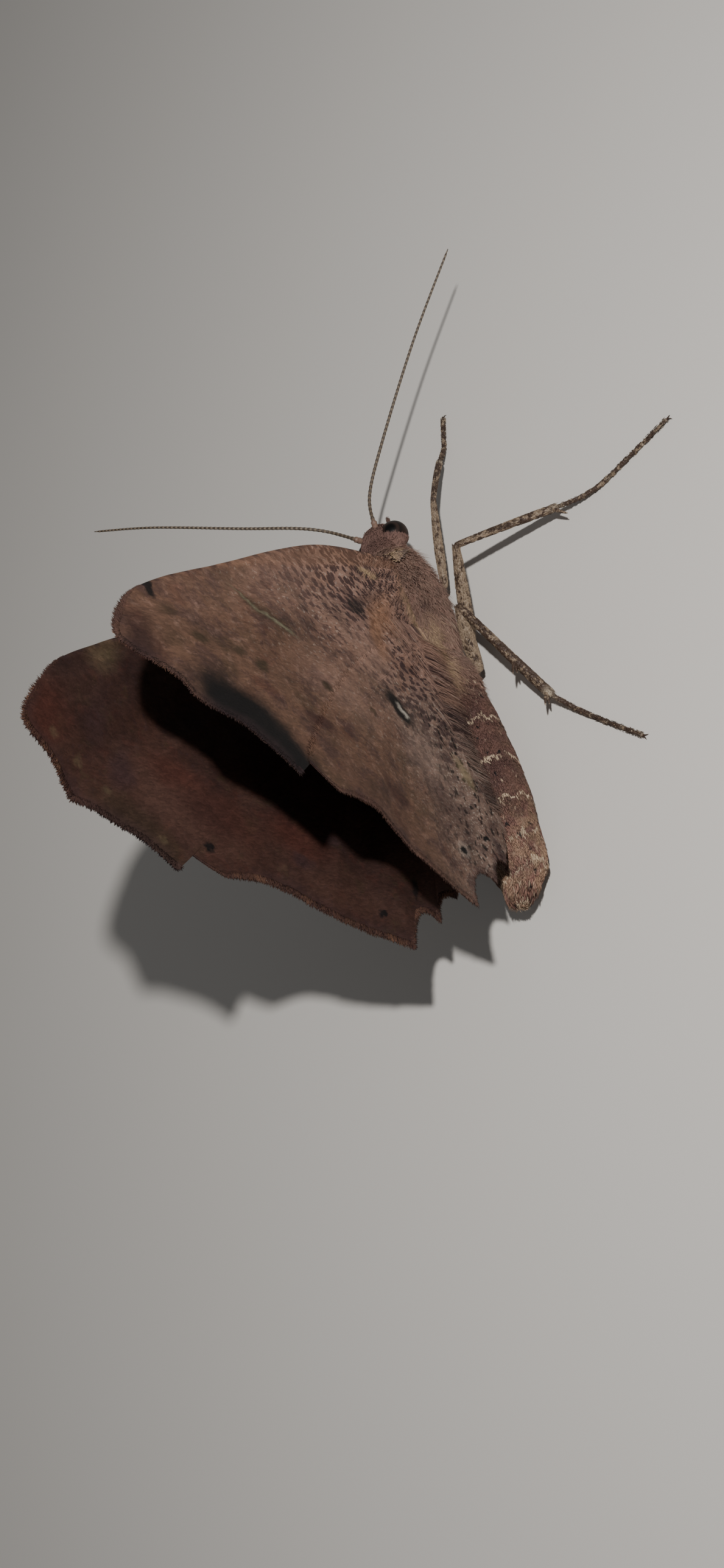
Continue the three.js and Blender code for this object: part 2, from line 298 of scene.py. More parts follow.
class Value:
    """A node's output that Python's arithmetic works on."""

    def __init__(self, finish, socket):
        self.finish = finish
        self.socket = socket

    def _math(self, operation, *inputs):
        return self.finish.node(
            "ShaderNodeMath", {"operation": operation}, dict(enumerate(inputs))
        )

    def __add__(self, other):
        return self._math("ADD", self, other)

    def __radd__(self, other):
        return self._math("ADD", other, self)

    def __sub__(self, other):
        return self._math("SUBTRACT", self, other)

    def __rsub__(self, other):
        return self._math("SUBTRACT", other, self)

    def __mul__(self, other):
        return self._math("MULTIPLY", self, other)

    def __rmul__(self, other):
        return self._math("MULTIPLY", other, self)

    def __abs__(self):
        return self._math("ABSOLUTE", self)

    def power(self, other):
        return self._math("POWER", self, other)

    def sine(self):
        return self._math("SINE", self)

    def step(self, start, end):
        """0 at start, 1 at end, smooth between them; start may be the larger."""
        return self.finish.node(
            "ShaderNodeMapRange", {"interpolation_type": "SMOOTHSTEP"}, {0: self, 1: start, 2: end}
        )


class Finish:
    """A node material while it is being put together. Keyword values are the same all over."""

    def __init__(self, name, **constants):
        self.material = bpy.data.materials.new(name)
        self.material.use_nodes = True
        self.tree = self.material.node_tree
        self.tree.nodes.clear()
        self.shader = self.tree.nodes.new("ShaderNodeBsdfPrincipled")
        output = self.tree.nodes.new("ShaderNodeOutputMaterial")
        self.tree.links.new(self.shader.outputs[0], output.inputs[0])
        for socket, value in constants.items():
            self.shader.inputs[socket.replace("_", " ")].default_value = value

    def node(self, kind, settings=None, inputs=None, output=0):
        """Adds a node, sets it up, then gives its sockets values or links."""
        made = self.tree.nodes.new(kind)
        for name, value in (settings or {}).items():
            setattr(made, name, value)
        for key, value in (inputs or {}).items():
            if isinstance(value, Value):
                self.tree.links.new(value.socket, made.inputs[key])
            else:
                made.inputs[key].default_value = value
        return Value(self, made.outputs[output])

    def feed(self, socket, value):
        self.tree.links.new(value.socket, self.shader.inputs[socket])

    def attribute(self, name, output="Vector"):
        return self.node("ShaderNodeAttribute", {"attribute_name": name}, output=output)

    def parts(self, vector):
        return tuple(self.node("ShaderNodeSeparateXYZ", None, {0: vector}, i) for i in range(3))

    def vector(self, x=0.0, y=0.0, z=0.0):
        return self.node("ShaderNodeCombineXYZ", None, {0: x, 1: y, 2: z})

    def moved(self, operation, a, b):
        return self.node("ShaderNodeVectorMath", {"operation": operation}, {0: a, 1: b})

    def shaken(self, place, noise, reach):
        """Coordinates pushed about by a noise's colour, up to half of reach along each axis."""
        push = self.moved("SUBTRACT", noise, (0.5,) * 3)
        return self.moved("ADD", place, self.moved("MULTIPLY", push, reach))

    def length(self, vector):
        return self.node("ShaderNodeVectorMath", {"operation": "LENGTH"}, {0: vector}, "Value")

    def mixed(self, share, low, high):
        """Colour low, changing to high as share goes to 1."""
        return self.node("ShaderNodeMix", {"data_type": "RGBA"}, {0: share, 6: full(low), 7: full(high)}, 2)

    def shaded(self, colour, strength):
        """The colour multiplied by a grey strength."""
        grey = self.node("ShaderNodeCombineColor", None, {0: strength, 1: strength, 2: strength})
        return self.node(
            "ShaderNodeMix", {"data_type": "RGBA", "blend_type": "MULTIPLY"},
            {0: 1.0, 6: full(colour), 7: grey}, 2,
        )

    def noise(self, place, scale, detail=3.0, roughness=0.55, output="Fac"):
        return self.node(
            "ShaderNodeTexNoise", None,
            {"Vector": place, "Scale": scale, "Detail": detail, "Roughness": roughness}, output,
        )

    def cells(self, place, scale, output="Distance", kind="3D"):
        return self.node("ShaderNodeTexVoronoi", {"voronoi_dimensions": kind},
                         {"Vector": place, "Scale": scale}, output)

    def stretched(self, place, scale, turn=0.0):
        """Coordinates scaled differently along each axis, turned about Z."""
        return self.node("ShaderNodeMapping", None, {0: place, 2: (0, 0, turn), 3: scale})

    def mark(self, place, spot):
        """The spot's strength inside it, 0 outside it."""
        local = self.node(
            "ShaderNodeMapping", {"vector_type": "TEXTURE"},
            {0: place, 1: (spot.out, spot.back, 0), 2: (0, 0, math.radians(spot.turn)),
             3: (spot.length, spot.width, 1)},
        )
        return self.length(local).step(1 + spot.blur, 1 - spot.blur) * spot.strength

    def blob(self, place, centre, radii):
        """1 inside a soft spot, falling to 0 a little past its radii."""
        local = self.node("ShaderNodeMapping", {"vector_type": "TEXTURE"}, {0: place, 1: centre, 3: radii})
        return self.length(local).step(1.1, 0.6)

    def bump(self, height, distance, strength=1.0):
        self.feed("Normal", self.node(
            "ShaderNodeBump", None, {"Height": height, "Distance": distance * MM, "Strength": strength}
        # Painted shade: the near-black colour of the patch at the forewing's edge.
        ))


def full(colour):
    """A colour with its alpha, or the link it comes from."""
    return colour if isinstance(colour, Value) else (*colour[:3], 1.0)


TRUNK_SPOTS = (  # centre on the left half, radii, paint and strength
    ((1.18, -3.95, 3.60), (0.36, 0.40, 0.36), "fan", 0.9),
    ((1.44, -3.80, 3.36), (0.26, 0.36, 0.24), "dark", 1.0),
    ((0.34, -6.50, 2.45), (0.40, 0.90, 0.40), "leg_dark", 0.6),
    ((1.46, -1.65, 3.62), (0.16, 0.45, 0.16), "dark", 0.6),
    ((1.55, -0.45, 3.55), (0.16, 0.36, 0.16), "dark", 0.6),
)
SHOULDER = (  # three corners in mm along the body and degrees from the back, and whose paint it has
    (((-3.66, 47), (-3.48, 62), (-3.00, 50)), 0),
    (((-3.56, 53), (-3.62, 71), (-3.02, 52)), 1),
)
FAN = ((1.50, 1.90, 3.52), (0.38, 2.20, 0.42))  # yellow-brown hair beside the wings: centre and radii


class Spot(NamedTuple):
    """One marking of the wing: where it is, its half sizes, how it lies, and its paint."""

    out: float
    back: float
    length: float
    width: float
    turn: float
    paint: str
    strength: float = 1.0
    blur: float = 0.3


UNDER_SPOTS = (
    Spot(12.0, 3.9, 6.5, 1.5, 22, "pink", 0.16, 1.0),
    Spot(10.3, 9.2, 2.0, 1.4, -30, "beige", 0.45, 0.9),
    Spot(6.4, 6.4, 1.7, 1.0, 30, "beige", 0.5, 0.9),
    Spot(5.2, 11.2, 1.3, 1.6, 0, "grey", 0.5, 0.9),
    Spot(4.9, 13.6, 1.3, 0.8, -20, "rust", 0.4, 0.9),
    Spot(11.5, 14.2, 2.8, 1.0, -25, "rust", 0.4, 0.9),
    Spot(3.6, 3.7, 1.5, 0.8, 40, "orange", 0.45, 0.6),
    Spot(5.0, 5.3, 1.3, 0.5, 68, "orange", 0.45, 0.6),
    Spot(5.6, 3.9, 0.75, 0.36, 35, "black", 0.7, 0.5),
    Spot(4.3, 3.1, 1.2, 0.35, 30, "dark", 0.45, 0.6),
    Spot(13.6, 5.85, 0.8, 0.26, 130, "olive", 0.65, 0.8),
    Spot(12.8, 6.3, 0.95, 0.36, 146, "olive", 0.6, 0.8),
    Spot(13.7, 5.75, 0.75, 0.10, 132, "lichen", 0.6, 0.9),
    Spot(12.6, 6.55, 0.75, 0.13, 150, "lichen", 0.9, 0.8),
    Spot(19.3, 6.3, 0.5, 0.27, 80, "black", 0.95, 0.4),
    Spot(5.85, 9.0, 1.0, 0.5, 137, "black", 0.97, 0.4),
    Spot(5.6, 9.1, 0.42, 0.16, 137, "white", 0.55, 0.5),
    Spot(13.2, 11.45, 0.85, 0.34, -22, "rust", 0.9, 0.6),
    Spot(9.4, 13.7, 0.95, 0.32, -35, "rust", 0.9, 0.6),
    Spot(11.4, 9.4, 0.3, 0.24, 0, "olive", 0.95, 0.6),
    Spot(8.5, 10.0, 0.28, 0.2, 0, "olive", 0.8, 0.5),
    Spot(15.1, 9.2, 0.38, 0.3, 20, "olive", 0.95, 0.6),
    Spot(16.1, 8.7, 0.3, 0.22, 0, "olive", 0.85, 0.6),
    Spot(17.9, 8.35, 0.42, 0.3, 0, "olive", 0.9, 0.6),
    Spot(19.0, 7.3, 0.45, 0.3, 0, "olive", 0.6, 0.7),
    # Painted shade: a near-black patch along the forewing's outer edge.
    Spot(17.9, 11.8, 2.1, 1.45, -38, "slate", 1.0, 0.45),
    Spot(16.6, 13.5, 1.7, 1.3, -48, "slate", 1.0, 0.45),
    Spot(21.3, 9.4, 1.5, 0.8, 60, "deep_brown", 0.95, 0.8),
    Spot(4.9, 13.5, 1.0, 0.8, -20, "dark", 0.3, 0.9),
    Spot(2.25, 5.45, 1.4, 0.08, 61, "rust", 0.75, 0.6),
    Spot(3.1, 1.35, 0.75, 0.16, 0, "fan", 0.8, 0.6),
    Spot(-0.2, 5.4, 3.2, 0.7, 92, "fan", 0.95, 0.8),
    Spot(2.3, 11.4, 0.7, 0.35, 100, "pale", 0.55, 0.8),
    Spot(5.15, 15.45, 0.30, 0.26, 0, "white", 0.2, 0.9),
    Spot(5.15, 15.45, 0.20, 0.17, 0, "black", 1.0, 0.4),
    Spot(2.95, 14.75, 0.24, 0.2, 0, "black", 1.0, 0.4),
    Spot(3.1, 16.1, 0.55, 0.3, 60, "black", 0.9, 0.5),
    Spot(2.2, 15.0, 0.6, 0.35, 100, "dark", 0.8, 0.6),
    Spot(5.6, 17.1, 0.5, 0.3, 80, "dark", 0.6, 0.5),
)

EDGE_SHADE = Spot(17.2, 12.6, 3.2, 1.9, -42, "slate", 1.0, 0.3)  # painted shade: the pale fringe is darkened over the patch of painted shade

UPPER_SPOTS = (
    Spot(15.5, 11.4, 2.6, 1.5, -40, "lilac", 0.75, 0.7),
    Spot(9.4, 14.4, 3.4, 1.3, -28, "lilac", 0.35, 0.8),
    Spot(21.0, 8.6, 1.2, 0.9, 40, "red", 0.8, 0.7),
    Spot(13.6, 11.9, 1.7, 0.9, -35, "red", 0.6, 0.8),
    Spot(9.9, 12.9, 1.4, 0.8, -30, "red", 0.75, 0.7),
    Spot(15.0, 10.1, 1.2, 0.6, -20, "red", 0.6, 0.7),
    Spot(18.4, 8.4, 1.3, 0.5, 70, "dark", 0.35, 0.7),
    Spot(17.5, 10.2, 0.8, 0.5, 60, "dark", 0.65, 0.6),
    Spot(17.6, 12.6, 1.7, 0.8, -45, "olive", 0.95, 0.7),
    Spot(17.8, 12.4, 1.3, 0.9, -45, "deep_brown", 0.5, 0.7),
    Spot(14.1, 12.0, 1.3, 0.8, -35, "deep_brown", 0.45, 0.8),
    Spot(19.2, 7.4, 1.3, 0.8, 30, "lilac", 0.35, 0.9),
    Spot(17.5, 5.8, 0.8, 0.5, 25, "pale", 0.22, 0.9),
    Spot(20.7, 9.2, 0.17, 0.17, 0, "pale", 0.16, 0.9),
    Spot(19.6, 9.95, 0.2, 0.2, 0, "pale", 0.16, 0.9),
    Spot(18.5, 11.1, 0.17, 0.17, 0, "pale", 0.16, 0.9),
    Spot(16.6, 13.1, 0.16, 0.16, 0, "pale", 0.16, 0.9),
    Spot(14.5, 13.3, 0.22, 0.2, 0, "black", 0.95, 0.4),
    Spot(10.1, 14.0, 0.5, 0.35, 0, "dark", 0.6, 0.6),
    Spot(8.0, 13.1, 0.4, 0.25, 0, "dark", 0.5, 0.6),
    Spot(7.0, 16.3, 0.2, 0.16, 0, "black", 0.95, 0.4),
    Spot(4.5, 15.3, 0.55, 0.15, 70, "black", 0.85, 0.4),
    Spot(6.0, 9.2, 0.45, 0.3, 137, "black", 0.8, 0.5),
)


class WingMaps(NamedTuple):
    """What both faces' colours are worked out from, over the flat wing."""

    out: Value
    back: Value
    flat: Value
    ragged: Value  # flat places, shaken so that marks have uneven edges
    spread: Value  # places along and across the way out from the hinge
    away: Value
    swing: Value
    inner: Value
    lead: Value
    near: Value
    clouds: Value
    clouds2: Value
    dash: Value


def wing_maps(f, out, back, face):
    """The wing's coordinates and masks. Dashes lie thickest near the hinge and by the inner edge."""
    flat = f.vector(out, back)
    wander = f.noise(flat, 0.9, 3.0, output="Color")
    fine = f.noise(flat, 7.0, 2.0, output="Color")
    ragged = f.shaken(f.shaken(flat, wander, (0.9, 0.9, 0)), fine, (0.22, 0.22, 0))
    away = f.length(flat)
    swing = f.node("ShaderNodeMath", {"operation": "ARCTAN2"}, {0: back, 1: out})
    clouds = f.noise(flat, 0.35, 3.0)
    clouds2 = f.noise(f.moved("ADD", flat, (31.0, 7.0, 0.0)), 0.55, 4.0)
    inner = out.step(9.0, 3.0) * back.step(6.0, 9.5)
    near = away.step(21.0, 4.0)
    lead = (back - out * 0.4).step(2.2, 0.2) * away.step(17, 8)

    root_reach = away.power(0.5)
    spread = f.vector(root_reach * 16.0 + face * 20, swing * root_reach * 6.2)
    spread = f.shaken(f.shaken(spread, wander, (1.2, 1.6, 0)), fine, (0.5, 1.0, 0))
    chance, _, _ = f.parts(f.cells(spread, 1.0, "Color", "2D"))
    size = near * 0.36 + inner * 0.15 + lead * 0.14 + clouds * 0.8 - 0.33
    dash = (size - chance * 0.24 - f.cells(spread, 1.0, kind="2D")).step(-0.10, 0.04)
    return WingMaps(out, back, flat, ragged, spread, away, swing, inner, lead, near, clouds, clouds2, dash)


def spotted(f, look, maps, colour, spots):
    """The colour with markings on it."""
    for spot in spots:
        colour = f.mixed(f.mark(maps.ragged, spot), colour, getattr(look, spot.paint))
    return colour


def under_colour(f, look, maps):
    """The wing's under face: mauve and beige, browner to the tip, greyer by the body."""
    flat, away, inner, clouds2 = maps.flat, maps.away, maps.inner, maps.clouds2
    colour = f.mixed(maps.clouds.step(0.38, 0.62), look.beige, look.mauve)
    colour = f.mixed(away.step(7.5, 14.5) * (1 - maps.lead * 0.5) * 0.95, colour, look.tan)
    colour = f.mixed(inner * 0.75, colour, look.grey)
    colour = f.mixed(away.step(8.5, 2.5) * 0.8, colour, look.pink)
    colour = f.mixed(clouds2.step(0.5, 0.68) * away.step(16, 4) * 0.35, colour, look.orange)
    colour = f.mixed(clouds2.step(0.5, 0.34) * away.step(6, 13) * 0.5, colour, look.olive)
    colour = f.mixed(clouds2.step(0.54, 0.66) * away.step(7, 13) * 0.45, colour, look.red)
    ray = abs(maps.swing - 0.82).step(0.10, 0.03) * away.step(2.0, 3.5) * away.step(11.0, 5.0)
    colour = f.mixed(ray * clouds2.step(0.35, 0.55) * 0.5, colour, look.orange)
    grain = f.noise(flat, 5.0, 2.0)
    colour = f.mixed(grain.step(0.58, 0.70) * maps.near * 0.4, colour, look.white)
    powder = f.noise(flat, 8.0, 2.0).step(0.54, 0.70)
    colour = f.mixed(powder * inner * 0.35, colour, look.white)
    soft = f.noise(maps.spread, 0.4, 4.0, 0.7)
    colour = f.mixed(soft.step(0.47, 0.62) * (0.4 + away.step(5, 9) * 0.16), colour, look.dark)
    soft2 = f.noise(f.moved("ADD", flat, (5.0, 3.0, 0.0)), 1.6, 4.0, 0.7)
    colour = f.mixed(soft2.step(0.52, 0.7) * 0.35, colour, look.beige)
    colour = f.mixed(maps.dash * away.step(19, 6) * 0.92, colour, look.dark)
    specks = f.cells(f.stretched(maps.ragged, (1.0, 0.7, 1.0), 0.4), 2.3, kind="2D")
    specks = specks + f.noise(flat, 2.0, 2.0) * 0.5
    colour = f.mixed(specks.step(0.50, 0.38) * inner * 0.85, colour, look.black)
    hind = (maps.back - maps.out * SEAM["rise"] - SEAM["back"]).step(-0.05, 0.05)
    edge_line = (maps.back - maps.out * 0.28).step(0.4, 0.0) * hind.step(0.6, 0.4)
    colour = f.mixed(edge_line * 0.3, colour, look.orange)
    return spotted(f, look, maps, colour, UNDER_SPOTS)


def upper_colour(f, look, maps):
    """The wing's upper face: rusty brown with red, lilac and olive clouds."""
    flat = maps.flat
    colour = f.mixed(maps.clouds.step(0.35, 0.65), look.rust_brown, look.deep_brown)
    colour = f.mixed(maps.clouds2.step(0.45, 0.7) * 0.4, colour, look.lilac)
    colour = f.mixed(f.noise(flat, 1.4, 4.0).step(0.52, 0.68) * 0.4, colour, look.red)
    colour = f.mixed(maps.dash * maps.away.step(16, 6) * 0.5, colour, look.dark)
    colour = f.mixed(f.noise(flat, 1.1, 4.0, 0.65).step(0.46, 0.34) * 0.5, colour, look.olive)
    stipple = f.noise(flat, 3.2, 3.0, 0.7).step(0.54, 0.68)
    colour = f.mixed(stipple * 0.35, colour, look.dark)
    return spotted(f, look, maps, colour, UPPER_SPOTS)


def wing_finish(look):
    """Wing scales on both faces. chart holds mm out, mm back, and 1 on the upper face or -1."""
    f = Finish("wing_paint", Roughness=0.75, Specular_IOR_Level=0.14)
    out, back, face = f.parts(f.attribute("chart"))
    maps = wing_maps(f, out, back, face)
    is_upper = face.step(-0.5, 0.5)
    colour = f.mixed(is_upper, under_colour(f, look, maps), upper_colour(f, look, maps))
    mottle = f.noise(f.stretched(maps.flat, (0.7, 1.0, 1.0), 0.6), 2.8, 5.0, 0.75)
    colour = f.shaded(colour, 0.46 + mottle * 1.05)

    # The wing's edge: dark within, pale or rusty on the fringe. The fringe's own orange is laid on more
    # strongly, in patches, on the upper face, partly as a painted highlight where the edge catches the light.
    rim = f.attribute("rim", "Fac")
    colour = f.mixed(rim.step(0.8, 0.0) * 0.45, colour, look.dark)
    colour = f.mixed(f.attribute("costa", "Fac").step(0.35, 0.95) * 0.6, colour, look.dark)
    tassel_glints = f.noise(maps.flat, 0.9, 2.0).step(0.45, 0.7)
    # Painted shade: inside the edge patch the fringe keeps the dark painted shade.
    shade = f.mark(maps.flat, EDGE_SHADE)
    glow = rim.step(0.0, -0.2) * (0.06 + is_upper * (0.12 + tassel_glints * 0.4)) * (1 - shade * 0.95)
    colour = f.mixed(glow, colour, look.fringe)

    # Rows of scales.
    rows = f.stretched(maps.flat, (0.55, 1.2, 1.0), 0.6)
    tone, _, _ = f.parts(f.cells(rows, 11.0, "Color", "2D"))
    lot, vein = f.attribute("lot", "Fac"), f.attribute("vein", "Fac")
    colour = f.shaded(colour, (0.80 + tone * 0.34 + lot * 0.06) * (1 + vein * 0.16))
    f.feed("Base Color", colour)
    f.bump(f.cells(rows, 11.0, kind="2D") * -0.6 + f.noise(maps.flat, 24.0, 2.0) * 0.5, 0.018, 0.7)
    return f.material


def abdomen_colour(f, look, place, patches, patches2):
    """The abdomen's scales, with a cream line where each ring ends."""
    x, y, z = f.parts(place)
    colour = f.mixed(patches.step(0.4, 0.6), look.abdomen, look.abdomen_dark)
    low_flank = abs(x).step(1.0, 2.0) * z.step(3.0, 1.4)
    colour = f.mixed(low_flank * patches2.step(0.4, 0.6) * 0.22, colour, look.pale)
    colour = f.shaded(colour, 0.74 + y.step(9.2, 12.8) * 0.65)
    colour = f.mixed(y.step(9.0, 12.8) * patches2.step(0.35, 0.6) * 0.35, colour, look.fan)
    # The lines are set back on the flanks and broken by gaps.
    waver = y + abs(x) * 0.28 + patches2 * 0.9 - 0.75
    gaps = (f.noise(place, 3.0, 3.0, 0.7) + y * 0.012).step(0.44, 0.54)
    cream = sum(abs(waver - end).step(0.075, 0.02) for end in SEGMENT_ENDS) * gaps
    flecks = f.cells(place, 4.4).step(0.24, 0.13) * (patches + 0.09).step(0.50, 0.64)
    tail = y.step(9.5, 14.0) * f.noise(place, 5.0, 4.0, 0.7).step(0.52, 0.62) * 0.6
    colour = f.mixed((cream + flecks * 0.6 + tail).step(0.0, 1.0) * 0.85, colour, look.cream)
    dusk = f.noise(place, 2.2, 4.0, 0.7).step(0.50, 0.64)
    colour = f.mixed(dusk * (1 - cream) * 0.35, colour, look.leg_dark)
    specks = f.cells(f.moved("ADD", place, (4.0, 8.0, 2.0)), 2.1).step(0.20, 0.12)
    return f.mixed(specks * 0.95, colour, look.black)


def trunk_finish(look):
    """Skin and coat of the trunk. place is the root in mm, grow runs from root to tip."""
    f = Finish("trunk_paint", Roughness=0.68, Specular_IOR_Level=0.3)
    place = f.attribute("place")
    x, y, z = f.parts(place)
    grow = f.attribute("grow", "Fac")
    lot = f.attribute("lot", "Fac")
    patches = f.noise(place, 0.9, 4.0)
    patches2 = f.noise(f.moved("ADD", place, (9.0, 3.0, 5.0)), 2.4, 3.0)
    colour = f.mixed(patches.step(0.38, 0.62), look.fur, look.fur_dark)
    colour = f.mixed(patches2.step(0.5, 0.7) * 0.5, colour, look.fur_pink)
    colour = f.mixed(y.step(-3.9, -4.7) * 0.8, colour, look.head_fur)
    flank = z.step(3.4, 2.2) * y.step(-2.0, 0.5)
    stripes = f.noise(f.stretched(place, (1.0, 0.35, 1.0)), 4.5, 3.0).step(0.48, 0.62)
    colour = f.mixed(flank * stripes * 0.5, colour, look.fur_dark)
    colour = f.mixed(flank * f.noise(place, 6.0, 2.0).step(0.56, 0.66) * 0.6, colour, look.leg_ring)
    beside = f.vector(abs(x), y, z)
    for centre, radii, tone, strength in TRUNK_SPOTS:
        colour = f.mixed(f.blob(beside, centre, radii) * strength, colour, getattr(look, tone))
    abdomen = abdomen_colour(f, look, place, patches, patches2)
    colour = f.mixed((y + (patches2 - 0.5) * 3.0).step(2.6, 4.8), colour, abdomen)
    colour = f.mixed(f.blob(beside, *FAN) * (0.62 + lot * 0.4), colour, look.fan)
    tips = grow.step(0.35, 1.0) * y.step(4.5, 2.0) * y.step(-4.8, -3.8)
    colour = f.mixed(tips * 0.4, colour, look.fur_tip)
    # Painted shade: each tuft is drawn darker at its root than at its tip; lot adds random tone.
    colour = f.shaded(colour, 0.82 + lot * 0.36 + grow * 0.14)
    f.feed("Base Color", colour)
    f.bump(f.cells(f.stretched(place, (1.0, 0.6, 1.0)), 13.0) * -1 + f.noise(place, 14.0, 3.0), 0.05, 0.7)
    return f.material


def leg_finish(look):
    """Leg scales. chart holds the share of the piece, the piece, and the leg's number."""
    f = Finish("leg_paint", Roughness=0.55, Specular_IOR_Level=0.35)
    share, piece, leg = f.parts(f.attribute("chart"))
    spot = f.attribute("place")
    lot = f.attribute("lot", "Fac")
    mottle = f.noise(spot, 3.6, 3.0, 0.65)
    grain = f.noise(spot, 9.0, 2.0)
    femur = piece.step(0.75, 0.25)
    tarsus = piece.step(1.25, 1.75)
    rear_leg = leg.step(3.5, 4.5) * 0.05
    dark = mottle + (1 - femur) * (0.07 + rear_leg) + tarsus * 0.04 + (grain - 0.5) * 0.4 - femur * 0.03
    dark = dark.step(0.48, 0.60)
    colour = f.mixed(dark, look.leg_pale, look.leg_dark)
    ring = share.step(0.90, 0.97) * (1 - femur) + share.step(0.10, 0.03) * tarsus
    colour = f.mixed(ring * (1 - dark * 0.6) * 0.7, colour, look.leg_ring)
    knee = share.step(0.955, 0.985) * femur + share.step(0.035, 0.01) * (1 - femur) * (1 - tarsus)
    colour = f.mixed(knee * 0.9, colour, look.leg_dark)
    colour = f.mixed(piece.step(2.5, 3.0), colour, look.claw)
    colour = f.shaded(colour, 0.82 + grain * 0.3 + lot * 0.1)
    f.feed("Base Color", colour)
    f.bump(f.cells(spot, 12.0) * -1 + grain, 0.03)
    return f.material


def feeler_finish(look):
    """Thin feelers in rings. chart.x counts rings from the root."""
    f = Finish("feeler_paint", Roughness=0.5, Specular_IOR_Level=0.35)
    ring, share, _ = f.parts(f.attribute("chart"))
    wave = (ring * (2 * math.pi)).sine()
    colour = f.mixed(wave.step(-0.1, 0.7), look.feeler, look.feeler_pale)
    colour = f.mixed(share.step(0.045, 0.02) * 0.6, colour, look.fur)
    grain = f.noise(f.attribute("place"), 6.0, 3.0)
    colour = f.shaded(colour, 0.6 + grain * 0.8)
    f.feed("Base Color", colour)
    f.bump(grain, 0.02)
    return f.material


def eye_finish(look, side):
    """A near-black eye with fine facets, a painted sheen towards its edge, and a painted faint ring and
    darker spot where it faces up and out.
    """
    f = Finish(f"eye_gloss_{'left' if side > 0 else 'right'}", Roughness=0.45, Specular_IOR_Level=0.2)
    ball = f.attribute("place")
    towards = f.node("ShaderNodeVectorMath", {"operation": "DOT_PRODUCT"},
                     {0: ball, 1: (0.48 * side, 0.03, 0.88)}, "Value")
    # Painted sheen: lighter brown towards the eye's edge; painted ring and dark spot where the eye faces up
    # and out.
    colour = f.mixed(towards.step(0.35, 0.75), look.eye_sheen, look.eye)
    colour = f.mixed(towards.step(0.74, 0.82) * towards.step(0.93, 0.88) * 0.8, colour, look.eye_ring)
    colour = f.mixed(towards.step(0.92, 0.97), colour, look.eye_spot)
    f.feed("Base Color", colour)
    f.bump(f.cells(ball, 26.0) * -1, 0.012, 0.12)
    return f.material


def floor_finish(look):
    """Plain pale floor."""
    f = Finish("floor_paint", Roughness=0.8, Specular_IOR_Level=0.2)
    spot = f.node("ShaderNodeTexCoord", output="Object")
    colour = f.mixed(f.noise(spot, 40.0, 2.0) * 0.25, look.floor, look.floor_shade)
    f.feed("Base Color", colour)
    return f.material


# --- meshes -------------------------------------------------------------------------------------


def add_piece(name, points, faces, finish, nodes=(), attributes=None, unwrap=None, crease=None):
    """Makes a piece from drawing points and arrays of faces, and hands it to the frame.

    Edges between two points of the crease are shaded sharp."""
    mesh = bpy.data.meshes.new(name)
    points = to_frame(points)
    mesh.vertices.add(len(points))
    mesh.vertices.foreach_set("co", points.astype(np.float32).ravel())
    corners = np.concatenate([np.asarray(group).ravel() for group in faces])
    sizes = np.concatenate([np.full(len(group), np.asarray(group).shape[1]) for group in faces])
    mesh.loops.add(len(corners))
    mesh.loops.foreach_set("vertex_index", corners.astype(np.int32))
    mesh.polygons.add(len(sizes))
    mesh.polygons.foreach_set("loop_start", np.r_[0, np.cumsum(sizes)[:-1]].astype(np.int32))
    mesh.update(calc_edges=True)
    mesh.polygons.foreach_set("use_smooth", np.ones(len(sizes), bool))
    if crease is not None:
        ends = np.empty(len(mesh.edges) * 2, np.int32)
        mesh.edges.foreach_get("vertices", ends)
        sharp = np.isin(ends.reshape(-1, 2), crease).all(1)
        mesh.attributes.new("sharp_edge", "BOOLEAN", "EDGE").data.foreach_set("value", sharp)
    for key, values in (attributes or {}).items():
        values = np.asarray(values, np.float32)
        kind, field = ("FLOAT", "value") if values.ndim == 1 else ("FLOAT_VECTOR", "vector")
        mesh.attributes.new(key, kind, "POINT").data.foreach_set(field, values.ravel())
    if unwrap is not None:
        mesh.uv_layers.new(name="OFBake").data.foreach_set("uv", unwrap.astype(np.float32).ravel())
    mesh.materials.append(finish)
    piece = bpy.data.objects.new(name, mesh)
    bpy.context.scene.collection.objects.link(piece)
    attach(piece, BODY)
    if nodes:
        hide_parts(*nodes)


def grid_faces(rows, columns, closed=False):
    """Quads over a grid of points whose rows follow each other, closed round or not."""
    across = np.arange(columns if closed else columns - 1)
    first = np.arange(rows - 1)[:, None] * columns + across
    second = np.arange(rows - 1)[:, None] * columns + (across + 1) % columns
    return np.stack([first, second, second + columns, first + columns], -1).reshape(-1, 4)


def grid_rim(rows, columns):
    """A grid's points in order round its edge."""
    return np.concatenate([
        np.arange(columns), np.arange(1, rows) * columns + columns - 1,
        (rows - 1) * columns + np.arange(columns - 2, -1, -1), np.arange(rows - 2, 0, -1) * columns,
    ])


def closed_faces(rows, columns):
    """Quads over closed rows, and triangles to the two points that follow the grid, one for each end."""
    around = np.arange(columns)
    after = (around + 1) % columns
    last = (rows - 1) * columns
    near = np.stack([around, after, np.full(columns, rows * columns)], -1)
    far = np.stack([after + last, around + last, np.full(columns, rows * columns + 1)], -1)
    return grid_faces(rows, columns, closed=True)[:, ::-1], np.concatenate([near, far])


def finish_named(name, make, *inputs):
    """The finish of that name, made the first time that it is needed."""
    return bpy.data.materials.get(name) or make(*inputs)


# --- trunk --------------------------------------------------------------------------------------


